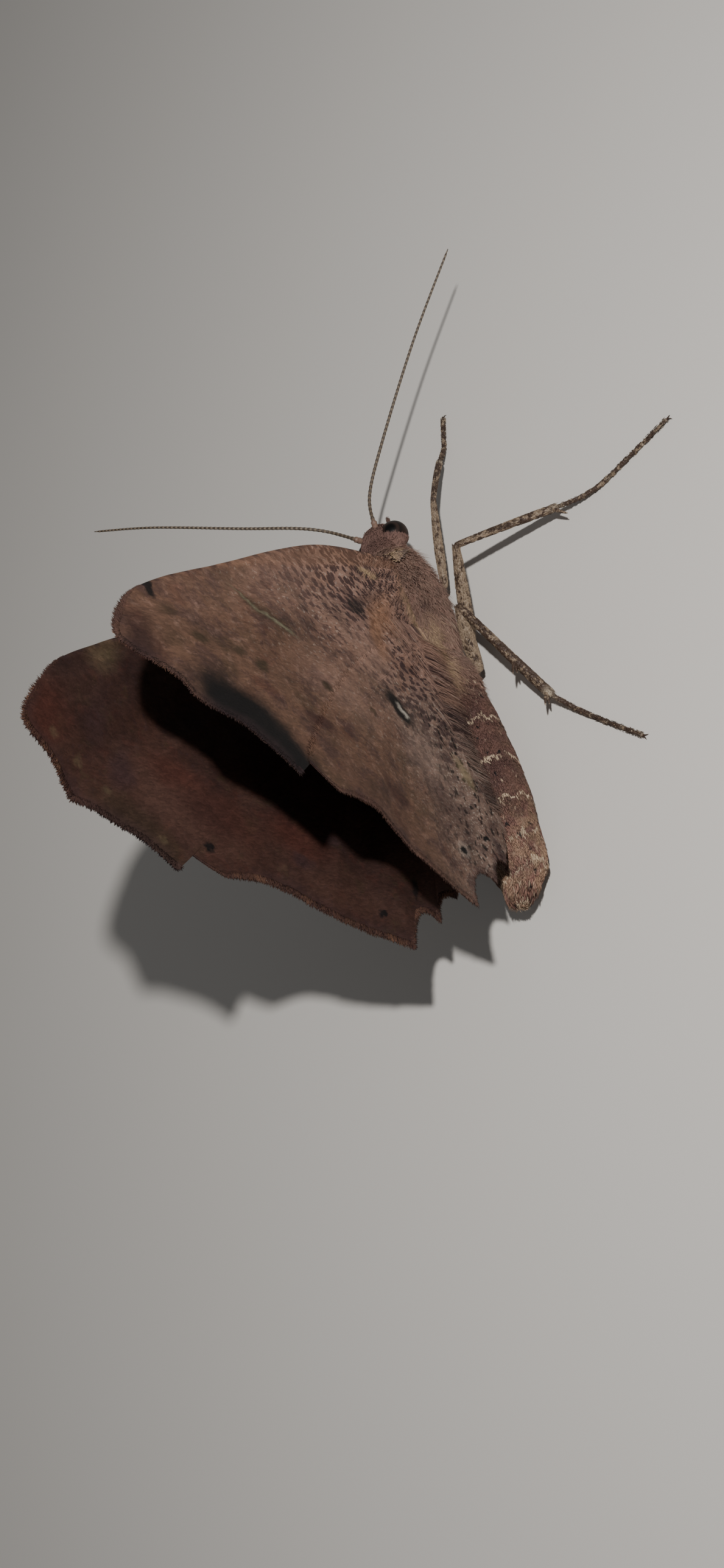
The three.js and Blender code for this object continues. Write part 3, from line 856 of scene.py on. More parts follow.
class Trunk:
    """The skin's surface, by station (0 at the face, 1 at the tail) and angle (0 on the back).

    depths are how far it lies inside the bodies of head, thorax and abdomen."""

    bodies = (HEAD, THORAX, ABDOMEN)
    line_y = (-6.2, -4.2, 0.0, 13.9)  # the centre line, from which every direction is measured
    line_z = (2.85, 3.0, 2.8, 1.6)
    blend = 14  # how sharply the bodies meet

    def __init__(self, depths):
        self.depths = depths
        self.front = HEAD.front + depths[0]
        self.rear = ABDOMEN.rear - depths[2]

    def y_at(self, station):
        return mix(self.front, self.rear, (1 - np.cos(np.pi * station)) / 2)

    def station_at(self, y):
        share = np.clip((y - self.front) / (self.rear - self.front), 0, 1)
        return np.arccos(1 - 2 * share) / np.pi

    def point(self, station, angle):
        y = self.y_at(station)
        centre = np.interp(y, self.line_y, self.line_z)
        reach = sum(
            body.reach(y, angle, centre, depth) ** self.blend
            for body, depth in zip(self.bodies, self.depths)
        ) ** (1 / self.blend)
        for start, end in zip((SEGMENT_START, *SEGMENT_ENDS), SEGMENT_ENDS):
            along = np.clip((y - start) / (end - start), 0, 1)
            reach = reach * (1 + SEGMENT_SWELL * np.sin(np.pi * along**1.6))
        late = smooth(TAIL["start"], TAIL["end"], y)
        belly = smooth(0.2, 0.8, -np.cos(angle))
        reach = reach * (1 + 0.16 * belly * smooth(10.6, 12.1, y) * (1 - smooth(12.5, 13.6, y)))
        reach = reach * (1 - TAIL["slim"] * late)
        bend = late * (1 - smooth(TAIL["end"], self.rear, y))
        fold = np.exp(-(((np.abs(angle) - 1.95) / 0.12) ** 2)) * smooth(3.0, 5.0, y)
        reach = reach * (1 - 0.02 * fold)
        return np.stack([TAIL["aside"] * bend + reach * np.sin(angle), y,
                         centre + TAIL["down"] * late + reach * np.cos(angle)], -1)

    def seat(self, station, angle):
        """Root, outward normal, and the unit directions to the tail and round the body."""
        step = 1e-3
        root = self.point(station, angle)
        tail = unit(self.point(np.minimum(station + step, 1), angle)
                    - self.point(np.maximum(station - step, 0), angle))
        turn = unit(self.point(station, angle + step * 3) - self.point(station, angle - step * 3))
        return root, unit(np.cross(turn, tail)), tail, turn

    def scatter(self, rng, count, low_y, high_y, weight=None):
        """Stations and angles of even random roots between two places along the body."""
        stations = np.linspace(self.station_at(low_y), self.station_at(high_y), 160)
        angles = np.linspace(-np.pi, np.pi, 121)
        s, a = np.meshgrid(stations, angles, indexing="ij")
        p = self.point(s, a)
        area = np.linalg.norm(np.cross(p[1:, :-1] - p[:-1, :-1], p[:-1, 1:] - p[:-1, :-1]), axis=-1)
        if weight is not None:
            area = area * weight(p[:-1, :-1])
        pick = rng.choice(area.size, count, p=area.ravel() / area.sum())
        i, j = np.unravel_index(pick, area.shape)
        station = mix(stations[i], stations[i + 1], rng.random(count))
        return station, mix(angles[j], angles[j + 1], rng.random(count))


class Tufts(NamedTuple):
    """Where tufts grow: their roots, lie, normals, unwrap and what their paint reads."""

    root: np.ndarray
    lie: np.ndarray
    normal: np.ndarray
    unwrap: np.ndarray
    paint: dict


def joined(groups):
    """Several groups of tufts as one."""
    paint = {key: np.concatenate([group.paint[key] for group in groups]) for key in groups[0].paint}
    return Tufts(*(np.concatenate(column) for column in list(zip(*groups))[:4]), paint)


def tuft_pattern(rings):
    """Triangles of one tuft and their places in its patch: a three-sided blade with a tip."""
    tip = rings * 3
    faces, flat = [(0, 2, 1)], [((0, 0), (0.5, -0.1), (1, 0))]
    for side, (a, b) in enumerate(((0, 1), (1, 2), (2, 0))):
        left, right = side / 3, (side + 1) / 3
        for ring in range(rings - 1):
            p, q = ring * 3 + a, ring * 3 + b
            low, high = ring / rings, (ring + 1) / rings
            faces += [(p, q, q + 3), (p, q + 3, p + 3)]
            flat += [((left, low), (right, low), (right, high)), ((left, low), (right, high), (left, high))]
        low = (rings - 1) / rings
        faces.append((tip - 3 + a, tip - 3 + b, tip))
        flat.append(((left, low), (right, low), ((left + right) / 2, 1)))
    return np.array(faces), np.array(flat)


def add_coat(name, tufts, length, width, lift, curl, finish, rng, rings=2, blunt=0.5, sway=0.0):
    """Joins solid tufts to one coat piece. lift and curl are shares of each tuft's length."""
    count = len(tufts.root)
    length, width, lift, curl = (
        np.broadcast_to(value, count)[:, None] for value in (length, width, lift, curl)
    )
    side = unit(np.cross(tufts.lie, tufts.normal))
    drift = side * rng.normal(0, 1, (count, 1)) * sway
    layers, grow = [], []
    for ring in range(rings + 1):
        share = ring / rings
        spine = (
            tufts.root
            + (tufts.lie + drift * share) * length * share
            + tufts.normal * length * (lift * share - curl * share**2)
        )
        if ring == rings:
            layers.append(spine)
            grow.append(share)
            continue
        half = width / 2 * (1 - share) ** blunt
        layers += [spine + side * half, spine - side * half, spine + tufts.normal * half * 0.7]
        grow += [share] * 3
    points = np.stack(layers, 1)
    pattern, flat = tuft_pattern(rings)
    first = np.arange(count)[:, None, None] * points.shape[1]
    unwrap = tufts.unwrap[:, None, None, :] + (flat[None] - 0.5) * PATCH
    each = points.shape[1]
    attributes = {key: np.repeat(value, each, axis=0) for key, value in tufts.paint.items()}
    attributes["grow"] = np.tile(grow, count)
    attributes["lot"] = np.repeat(rng.random(count), each)
    add_piece(name, points.reshape(-1, 3), [(first + pattern[None]).reshape(-1, 3)], finish,
              attributes=attributes, unwrap=unwrap.reshape(-1, 2))


def trunk_tufts(trunk, rng, station, angle, heading, spread):
    """Tufts on the trunk that lie towards the tail, turned by heading and a random spread."""
    root, normal, tail, turn = trunk.seat(station, angle)
    way = (heading + rng.normal(0, spread, len(station)))[:, None]
    unwrap = np.stack([0.02 + 0.96 * (angle / (2 * np.pi) + 0.5), 0.02 + 0.96 * station], -1)
    return Tufts(root, tail * np.cos(way) + turn * np.sin(way), normal, unwrap, {"place": root})


def shoulder_tufts(trunk, rng, side, corners, spot):
    """Tufts of one three-cornered mark before the wing's root, painted as that trunk spot's centre."""
    count = COUNTS["shoulder"]
    y, angle = (rng.dirichlet((1.0, 1.0, 1.0), count) @ np.array(corners)).T
    tufts = trunk_tufts(trunk, rng, trunk.station_at(y), side * np.radians(angle), 0.0, 0.2)
    place = np.tile(np.array(TRUNK_SPOTS[spot][0]) * (side, 1, 1), (count, 1))
    return tufts._replace(paint={"place": place})


def clear_of_eyes(points):
    """0 where an eye sits and 1 elsewhere: no fur grows there."""
    gaps = (np.linalg.norm(points - (EYE["x"] * side, EYE["y"], EYE["z"]), axis=-1) for side in (-1, 1))
    return smooth(EYE["radius"] * 0.95, EYE["radius"] * 1.05, np.minimum(*gaps))


def orbit_tufts(rng, side, count):
    """Tufts that close round the rear of an eye and lie forward over it."""
    axis = unit(np.array((-0.35 * side, 0.93, 0.05)))
    first = unit(np.cross(axis, (0, 0, 1)))
    second = np.cross(axis, first)
    round_ = rng.random((count, 1)) * 2 * np.pi
    tilt = np.radians(rng.uniform(*ORBIT_TILT, (count, 1)))
    outward = first * np.cos(round_) + second * np.sin(round_)
    normal = axis * np.cos(tilt) + outward * np.sin(tilt)
    lie = outward * np.cos(tilt) - axis * np.sin(tilt)
    root = np.array((EYE["x"] * side, EYE["y"], EYE["z"])) + normal * EYE["radius"]
    column = 0.02 if side < 0 else 0.52
    unwrap = np.concatenate([round_ / (2 * np.pi) * 0.45 + column, 0.1 + tilt / 2], -1)
    return Tufts(root, lie, normal, unwrap, {"place": root})


# --- wings --------------------------------------------------------------------------------------


def outward_of(run):
    """Flat directions out of the wing, from those along its edge."""
    return np.stack([run[:, 1], -run[:, 0]], -1)


def along_of(outward):
    """Flat directions along the wing's edge, from those out of it."""
    return np.stack([-outward[:, 1], outward[:, 0]], -1)


class Wing:
    """One wing of one side, with places given flat as mm out and mm back."""

    def __init__(self, pair, name, side):
        rise, slope = math.radians(DIHEDRAL[name]), math.radians(HINGE["slope"])
        self.pair, self.side, self.node = pair, side, f"{pair}wing_{name}"
        self.bows = BOW[name]
        self.back = np.array((0, math.cos(slope), -math.sin(slope)))
        upright = np.array((0, math.sin(slope), math.cos(slope)))
        self.out = np.array((side * math.cos(rise), 0, 0)) + upright * math.sin(rise)
        self.upper = np.cross(self.out, self.back) * side
        self.hinge = np.array((HINGE["x"] * side, HINGE["y"], HINGE["z"]))
        self.outline = respaced(OUTLINES[pair](), 420)
        self.veins = self.vein_lines()

    def bow(self, out, back):
        angle = np.degrees(np.arctan2(back, out)) - BOW_SHAPE["level"]
        reach = (np.hypot(out, back) / BOW_SHAPE["reach"]) ** 2
        depth = mix(*self.bows, smooth(-BOW_SHAPE["blend"], BOW_SHAPE["blend"], angle))
        wave = -depth * reach * np.sin(np.pi * angle / BOW_SHAPE["turn"])
        return np.where(angle > BOW_SHAPE["turn"], 0, wave)

    def at(self, out, back, lift=0.0):
        """Place of a point of the flat wing, raised by lift on its upper face."""
        out, back = np.asarray(out, float), np.asarray(back, float)
        rise = self.bow(out, back) + self.relief(out, back) + self.tuck(out, back) + lift
        out, back, rise = out[..., None], back[..., None], rise[..., None]
        return self.hinge + out * self.out + back * self.back + rise * self.upper

    def vein_lines(self):
        veins = VEINS[self.pair]
        root, front, rear = (np.array(p) for p in veins[:3])
        cell_root = root + (0.3, 0.25)
        lines = [
            np.r_[[root], quadratic(root, mix(root, front, 0.5) + (0.3, -0.5), front, 20)],
            np.r_[[cell_root], quadratic(cell_root, mix(cell_root, rear, 0.5) + (0.2, 0.1), rear, 20)],
            np.r_[[front], quadratic(front, mix(front, rear, 0.5) - (0.5, 0.1), rear, 6)],
        ]
        leave = {0: root, 1: front, 2: mix(front, rear, 0.5), 3: rear}
        for share, start in veins.ends:
            end = self.outline[int(share * (len(self.outline) - 1))]
            begin = leave[start]
            if start == 0:
                begin = root + (0, -0.6 if share < 0.5 else 0.9)
            pull = mix(begin, end, 0.45) + (mix(root, end, 0.5) - mix(root, begin, 0.5)) * 0.06
            lines.append(np.r_[[begin], quadratic(begin, pull, end, 26)])
        return lines

    def vein_distances(self, out, back):
        """Distance to each vein, one row for each."""
        spots = np.stack([out, back], -1)[..., None, :]
        return [np.linalg.norm(spots - respaced(line, 60), axis=-1).min(-1) for line in self.veins]

    def past_seam(self, out, back):
        """How far a point lies in front of the line between forewing and hindwing."""
        return (SEAM["rise"] * out + SEAM["back"] - back) / math.hypot(1, SEAM["rise"])

    def tuck(self, out, back):
        """The hindwing's front strip lies below the forewing."""
        if self.pair == "fore":
            return 0.0
        return -SEAM["tuck"] * smooth(-1.4, -0.1, self.past_seam(out, back))

    def relief(self, out, back):
        """Pleats: every other vein stands up and the rest lie deep. The seam stays flat."""
        rise = np.zeros_like(out)
        for number, distance in enumerate(self.vein_distances(out, back)):
            rise = rise + (-1) ** number * PLEAT["height"] * np.exp(-((distance / PLEAT["width"]) ** 2))
        away = np.hypot(out, back)
        waves = PLEAT["wave"] * np.sin(out * 0.9 + back * 0.35) * np.sin(back * 1.1 - out * 0.3 + 1.0)
        flat = smooth(0.9, 2.8, np.abs(self.past_seam(out, back)))
        return (rise + waves) * smooth(1.5, 6.0, away) * flat

    def edge(self, first, last, count):
        """Places along the edge between two shares of it, with the way out from the wing."""
        index = np.linspace(first, last, count) * (len(self.outline) - 1)
        at, run = along_line(self.outline, index, 1.5)
        return at, outward_of(run)


MARGINS = {"fore": (0.40, 0.63), "hind": (0.40, 0.745)}  # fringed share of each edge
OFF_RIM = 2.0  # what the paint reads as the way from the rim, where it isn't a fringe


def add_wing(wing, shape, finish):
    """The membrane: two faces over rays from the hinge, joined round the edge."""
    rays, steps = 300, 48
    edge = respaced(wing.outline, rays)
    outward = outward_of(unit(np.gradient(edge, axis=0)))
    first, last = MARGINS[wing.pair]
    share = np.linspace(0, 1, rays)
    fringed = smooth(first, first + 0.06, share) * (1 - smooth(last - 0.02, last + 0.01, share))
    edge = edge - outward * (shape.fringe / MM * 0.2 * fringed)[:, None]
    centre = np.array(FAN_CENTRE[wing.pair])
    t = np.linspace(0.01, 1, steps)[:, None, None]
    flat = centre + (edge - centre) * t
    out, back = flat[..., 0], flat[..., 1]
    vein = np.exp(-((np.min(wing.vein_distances(out, back), axis=0) / VEIN["width"]) ** 2))
    rim = np.linalg.norm(edge - centre, axis=-1) * (1 - t[..., 0])
    lead = np.exp(-((np.linalg.norm(flat[:, :, None] - edge[::6], axis=-1).min(-1)) / 0.3) ** 2)
    if wing.pair == "fore":
        seam = smooth(0.1, 1.4, np.abs(wing.past_seam(out, back)))
        costa = lead * (1 - smooth(first, first + 0.06, share))
    else:
        seam = smooth(0.0, 0.7, rim)
        costa = 0 * lead
    thick = shape.membrane / MM / 2 * (0.45 + 0.55 * smooth(0, 0.8, rim)) * (0.35 + 0.65 * seam)
    half = thick + (VEIN["height"] * vein * seam + VEIN["costa"] * costa) * smooth(0, 0.4, rim)
    points = np.concatenate([wing.at(out, back, lift).reshape(-1, 3) for lift in (half, -half)])
    size = rays * steps
    upper = grid_faces(steps, rays)
    under = upper[:, ::-1] + size
    ring = grid_rim(steps, rays)
    after = np.roll(ring, -1)
    wall = np.stack([after, ring, ring + size, after + size], -1)
    faces = [upper, under, wall]
    if wing.side > 0:
        faces = [group[:, ::-1] for group in faces]
    chart = np.concatenate([np.stack([out, back, np.full_like(out, face)], -1).reshape(-1, 3)
                            for face in (1, -1)])
    rim = rim + OFF_RIM * (1 - fringed)
    attributes = {"chart": chart, "vein": np.tile(vein.ravel(), 2), "rim": np.tile(rim.ravel(), 2),
                  "costa": np.tile(costa.ravel(), 2)}
    add_piece(f"{wing.node}_membrane", points, faces, finish, [wing.node], attributes,
              crease=np.concatenate([ring, ring + size]))


def wing_tufts(wing, out, back, face, way, rim):
    """Tufts on one face of a wing; way is their flat direction and rim what their paint reads."""
    root = wing.at(out, back, 0.02 * face)
    lie = unit(way[:, :1] * wing.out + way[:, 1:] * wing.back)
    normal = np.broadcast_to(wing.upper, root.shape) * face[:, None]
    offset = np.where(face > 0, 0.0, 0.5)
    unwrap = np.stack([0.01 + (out + 1.0) / 50 + offset, 0.02 + (back + 1.0) / 21], -1)
    paint = {"chart": np.stack([out, back, face], -1), "rim": rim, "vein": np.zeros_like(out)}
    return Tufts(root, lie, normal, np.clip(unwrap, 0.003, 0.997), paint)


def add_fringe(wing, shape, finish, rng):
    """Scales along the wing's outer edge, and those that close the hindwing's seam with the forewing."""
    first, last = MARGINS[wing.pair]
    count = int(shape.fringe_count * (last - first) / 0.3)
    at, outward = wing.edge(first, last, count)
    start = smooth(0, 0.18, np.linspace(0, 1, count))[:, None]
    at = at - outward * (shape.fringe / MM * (0.2 + (0.2 + 0.8 * rng.random((count, 1))) * start))
    way = outward + along_of(outward) * rng.normal(0, 0.22, (count, 1))
    face = rng.choice((-1.0, 1.0), count)
    tufts = wing_tufts(wing, at[:, 0], at[:, 1], face, way, -rng.random(count) * 0.3)
    length = shape.fringe / MM * (0.6 + 0.5 * rng.random(count)) * (0.35 + 0.65 * start[:, 0])
    if wing.pair == "hind":
        count = COUNTS["seam"]
        at, ahead = wing.edge(0.02, first - 0.01, count)
        at = at - ahead * (0.02 + 0.2 * rng.random((count, 1)))
        way = ahead + along_of(ahead) * rng.normal(0, 0.3, (count, 1))
        face = rng.choice((-1.0, 1.0), count)
        lap = wing_tufts(wing, at[:, 0], at[:, 1], face, way, np.full(count, OFF_RIM))
        tufts = joined([tufts, lap])
        length = np.r_[length, 0.16 + 0.14 * rng.random(count)]
    add_coat(f"{wing.node}_fringe", tufts, length, 0.055, 0.015, 0.0, finish, rng,
             blunt=0.35)


# Sizes of the hindwing's hair, each over the distances back from the hinge that come first.
HAIR_EDGE = ((3.6, 6.0, 10.0, 14.0), (-0.4, -0.6, -0.1, 0.8))  # how far out the wing's inner edge is
HAIR_SPREAD = ((3.6, 8, 14), (2.2, 1.3, 0.35))  # how far past that edge hair grows
HAIR_LENGTH = ((3.6, 7, 11, 14), (1.0, 1.6, 1.0, 0.45))
FALL_EDGE = ((4, 6, 8, 10, 13), (0.3, 0.65, 0.8, 0.8, 0.5))  # how far out the wing meets the abdomen
FALL_LENGTH = ((4, 8, 13), (1.4, 1.2, 0.6))


def hair_on(wing, out, back, face, way, length, width, lift):
    """Tufts of hair on a wing, with the length, width and lift of each."""
    tufts = wing_tufts(wing, out, back, face, way, np.full_like(out, OFF_RIM))
    return tufts, *(np.broadcast_to(size, len(out)) for size in (length, width, lift))


def hinge_hair(wing, rng):
    """Hair by the forewing's hinge."""
    count = COUNTS["fore_hair"]
    out = rng.beta(1.1, 2.6, count) * 5.0 + 0.1
    back = -0.2 + 0.17 * out + rng.random(count) * (3.2 + 0.2 * out)
    face = rng.choice((-1.0, 1.0), count)
    way = np.stack([0.75 + 0 * out, 0.55 + 0.25 * rng.random(count)], -1)
    length = 0.35 + 0.35 * rng.random(count)
    return hair_on(wing, out, back, face, way, length, width=0.05, lift=0.16)


def edge_hair(wing, rng):
    """Hair on the hindwing's inner edge."""
    count = COUNTS["hind_hair"]
    back = 3.6 + rng.beta(1.0, 1.7, count) * 10.5
    out = np.interp(back, *HAIR_EDGE) + np.abs(rng.normal(0, 0.75, count)) * np.interp(back, *HAIR_SPREAD)
    face = rng.choice((-1.0, 1.0), count, p=(0.65, 0.35))
    way = np.stack([-0.30 - 0.35 * rng.random(count), 0.85 + 0 * out], -1)
    length = np.interp(back, *HAIR_LENGTH) * (0.55 + 0.5 * rng.random(count))
    return hair_on(wing, out, back, face, way, length, width=0.034, lift=0.14)


def falling_hair(wing, rng):
    """Hair that falls over the abdomen from where the hindwing meets it."""
    count = COUNTS["falling_hair"]
    back = 4.2 + rng.beta(1.1, 1.3, count) * 8.8
    out = np.interp(back, *FALL_EDGE) + 0.1 + 0.7 * rng.random(count)
    way = np.stack([-0.8 + 0.4 * rng.random(count), 0.75 + 0 * out], -1)
    length = np.interp(back, *FALL_LENGTH) * (0.7 + 0.4 * rng.random(count))
    face = rng.choice((-1.0, 1.0), count, p=(0.8, 0.2))
    lift = 0.35 + 0.5 * rng.random(count)
    return hair_on(wing, out, back, face, way, length, width=0.03, lift=lift)


WING_HAIR = {"fore": (hinge_hair,), "hind": (edge_hair, falling_hair)}


def add_wing_hair(wing, finish, rng):
    """The long soft hair of one wing."""
    tufts, *sizes = zip(*(grow(wing, rng) for grow in WING_HAIR[wing.pair]))
    length, width, lift = (np.concatenate(size) for size in sizes)
    add_coat(f"{wing.node}_hair", joined(tufts), length, width, lift, np.minimum(lift * 0.7, 0.3), finish,
             rng, rings=3, blunt=0.8, sway=0.12)


# --- limbs --------------------------------------------------------------------------------------


def sweep(path, radii, sides, flatten=1.0):
    """A round limb along a path with closed ends: points, quads, end triangles, and shares along it."""
    path, radii = np.asarray(path, float), np.asarray(radii, float)
    run = unit(np.gradient(path, axis=0))
    level = unit(np.cross(run, LEVEL))
    upright = np.cross(level, run)
    turn = np.linspace(0, 2 * np.pi, sides, endpoint=False)
    ring = (
        level[:, None] * np.cos(turn)[None, :, None]
        + upright[:, None] * np.sin(turn)[None, :, None] * flatten
    )
    points = (path[:, None] + ring * radii[:, None, None]).reshape(-1, 3)
    tips = path[[0, -1]] + run[[0, -1]] * radii[[0, -1], None] * ((-0.6,), (0.6,))
    along = np.concatenate([np.repeat(np.linspace(0, 1, len(path)), sides), [0, 1]])
    return np.concatenate([points, tips]), *closed_faces(len(path), sides), along


class Parts:
    """Sweeps gathered into one mesh."""

    def __init__(self):
        self.points, self.quads, self.ends, self.charts = [], [], [], []
        self.size = 0

    def add(self, swept, piece, leg):
        points, quads, ends, along = swept
        self.points.append(points)
        self.quads.append(quads + self.size)
        self.ends.append(ends + self.size)
        self.charts.append(np.stack([along, np.full_like(along, piece), np.full_like(along, leg)], -1))
        self.size += len(points)

    def make(self, name, finish, slot, nodes):
        points = np.concatenate(self.points)
        attributes = {"chart": np.concatenate(self.charts), "place": points}
        add_piece(name, points, [np.concatenate(self.quads), np.concatenate(self.ends)], finish,
                  nodes, attributes)


def limb_line(start, end, count, sag=0.0):
    """A nearly straight line whose middle is raised by sag."""
    t = np.linspace(0, 1, count)[:, None]
    return mix(start, end, t) + np.array((0, 0, 1)) * sag * np.sin(np.pi * t)


def leg_lines(leg, side):
    """The lines of the femur and the tibia with their half widths, and the foot's line."""
    coxa, knee, ankle, heel, toe = (outwards(p, side) for p in leg[:5])
    t = np.linspace(0, 1, 22)
    thigh = leg.femur * (0.72 + 0.42 * np.sin(np.pi * t**0.8)) * (1 - 0.2 * t)
    femur = limb_line(coxa, knee, len(t), 0.06), thigh
    tibia = limb_line(knee, ankle, len(t), 0.05), leg.tibia * (0.62 + 0.26 * t**0.8)
    foot = respaced(np.r_[[ankle], spline([ankle, heel, toe], 16)], 40)
    foot[:, 2] = np.maximum(foot[:, 2], TOE_RADIUS)
    return femur, tibia, foot


FOOT_SHARES = (0, 0.44, 0.63, 0.78, 0.90, 1.0)  # where the five pieces of the foot end
PAINTED = {"femur": 0, "tibia": 1, "spur": 1.4, "tarsus": 2, "claw": 3}  # what the leg's paint reads


def add_leg(pair, name, side, number, finish):
    """One leg: femur, tibia with its spurs, five foot pieces and two claws."""
    leg = LEGS[pair]
    if pair == "fore" and name == "left":
        leg = leg._replace(**DRAWN_IN)
    femur, tibia, foot = leg_lines(leg, side)
    parts = Parts()
    parts.add(sweep(*femur, 14, FLATTEN["femur"]), PAINTED["femur"], number)
    parts.add(sweep(*tibia, 12, FLATTEN["tibia"]), PAINTED["tibia"], number)
    for place in leg.spurs:
        root = mix(tibia[0][0], tibia[0][-1], place)
        for way, size in ((-1, 0.75), (1, 1.0)):
            lean = unit(outwards(SPUR_LEAN[pair], side)) + (0, 0, SPUR["spread"] * way)
            tip = root + unit(lean) * SPUR["length"] * size
            t = np.linspace(0, 1, 8)
            spur = sweep(limb_line(root, tip, 8, 0.04), SPUR["radius"] * (1 - t**2 * 0.8), 8)
            parts.add(spur, PAINTED["spur"], number)
    if pair == "fore":
        root = mix(tibia[0][0], tibia[0][-1], FORE_SPUR["place"])
        t = np.linspace(0, 1, 6)
        tip = root + unit(tibia[0][-1] - root) * FORE_SPUR["length"] + (0, 0, FORE_SPUR["rise"])
        spur = sweep(limb_line(root, tip, 6), FORE_SPUR["radius"] * (1 - t * 0.7), 8)
        parts.add(spur, PAINTED["spur"], number)
    last = len(foot) - 1
    for index, (low, high) in enumerate(zip(FOOT_SHARES, FOOT_SHARES[1:])):
        piece = respaced(foot[int(low * last) : int(high * last) + 1], 9)
        t = np.linspace(0, 1, 9)
        # Each piece is thinner than the one before, and widens towards its notched end.
        width = TOE_RADIUS * (0.98 - 0.06 * index) * (0.78 + 0.22 * t**2) * (1 - 0.15 * (t > 0.95))
        parts.add(sweep(piece, width, 10), PAINTED["tarsus"], number)
    toe, run = foot[-1], unit(foot[-1] - foot[-4])
    sideways = unit(np.cross(run, (0, 0, 1)))
    for way in (-1, 1):
        tip = toe + run * CLAW["length"] + sideways * way * CLAW["spread"] + (0, 0, -TOE_RADIUS * 0.75)
        line = np.r_[[toe], quadratic(toe, toe + run * 0.18 + sideways * way * 0.05, tip, 6)]
        radii = CLAW["radius"] * (1 - 0.8 * np.linspace(0, 1, len(line)))
        parts.add(sweep(line, radii, 6), PAINTED["claw"], number)
    node = f"{pair}leg_{name}"
    parts.make(node, finish, "leg_scales", [f"{node}_{part}" for part in ("femur", "tibia", "tarsus")])
    return femur, tibia, foot


def limb_seats(line, radii, count, rng, flatten=1.0):
    """Roots, lie and normals of scales on a limb, with the shares along it and round it."""
    share, turn = rng.random(count), rng.random(count)
    index = share * (len(line) - 1)
    at, run = along_line(line, index, 0.5)
    level = unit(np.cross(run, LEVEL))
    angle = turn[:, None] * 2 * np.pi
    normal = level * np.cos(angle) + np.cross(level, run) * np.sin(angle) * flatten
    root = at + normal * (np.interp(index, np.arange(len(line)), radii) * 0.97)[:, None]
    return root, run, unit(normal), share, turn


def leg_seats(lines, number, rng):
    """Roots of the flat scales on one leg."""
    femur, tibia, foot = lines
    pieces = ((*femur, FLATTEN["femur"]), (*tibia, FLATTEN["tibia"]),
              (foot, np.full(len(foot), TOE_RADIUS * 0.9), 1.0))
    seats = []
    for piece, ((line, radii, flatten), count) in enumerate(zip(pieces, LEG_SCALES)):
        root, run, normal, share, turn = limb_seats(line, radii, count, rng, flatten)
        unwrap = np.stack([0.01 + (piece + share) / 3 * 0.98, 0.01 + (number + turn) / 6 * 0.98], -1)
        chart = np.stack([share, np.full(count, piece), np.full(count, number)], -1)
        seats.append(Tufts(root, run, normal, unwrap, {"place": root, "chart": chart}))
    return seats


# --- what a user can change ---------------------------------------------------------------------


def measure(name, description, default):
    """A length that a user can change."""
    return FloatProperty(name=name, description=description, default=default, unit="LENGTH", precision=5)


def tint(name, description, default):
    """A colour that a user can change."""
    return FloatVectorProperty(name=name, description=description, default=default, size=3,
                               subtype="COLOR", min=0, max=1)


class MothShape(bpy.types.PropertyGroup):
    """Depths, lengths and counts of the moth's coat and wings."""

    head_depth: measure("Head coat depth", "How far the head's skin lies inside its coat", 0.00010)
    thorax_depth: measure("Thorax coat depth", "How far the thorax's skin lies inside its fur", 0.00038)
    abdomen_depth: measure("Abdomen coat depth", "How far the abdomen's skin lies inside its scales", 0.00014)
    thorax_hair: measure("Thorax hair", "Length of the fur on the thorax", 0.00085)
    head_hair: measure("Head hair", "Length of the fur on the head", 0.00036)
    abdomen_scale: measure("Abdomen scale", "Length of the scales on the abdomen", 0.00018)
    membrane: measure("Membrane", "Thickness of a wing between its veins", 0.00009)
    fringe: measure("Fringe", "Length of the scales along a wing's outer edge", 0.00024)
    fringe_count: IntProperty(name="Fringe scales", description="Scales along a third of a wing's edge",
                              default=3000, min=100)
    thorax_count: IntProperty(name="Thorax tufts", description="Tufts in each layer of fur on the thorax",
                              default=10500, min=100)
    abdomen_count: IntProperty(name="Abdomen scales", description="Raised scales on the abdomen",
                               default=19000, min=100)
    head_count: IntProperty(name="Head tufts", description="Tufts of fur on the head", default=6000, min=100)


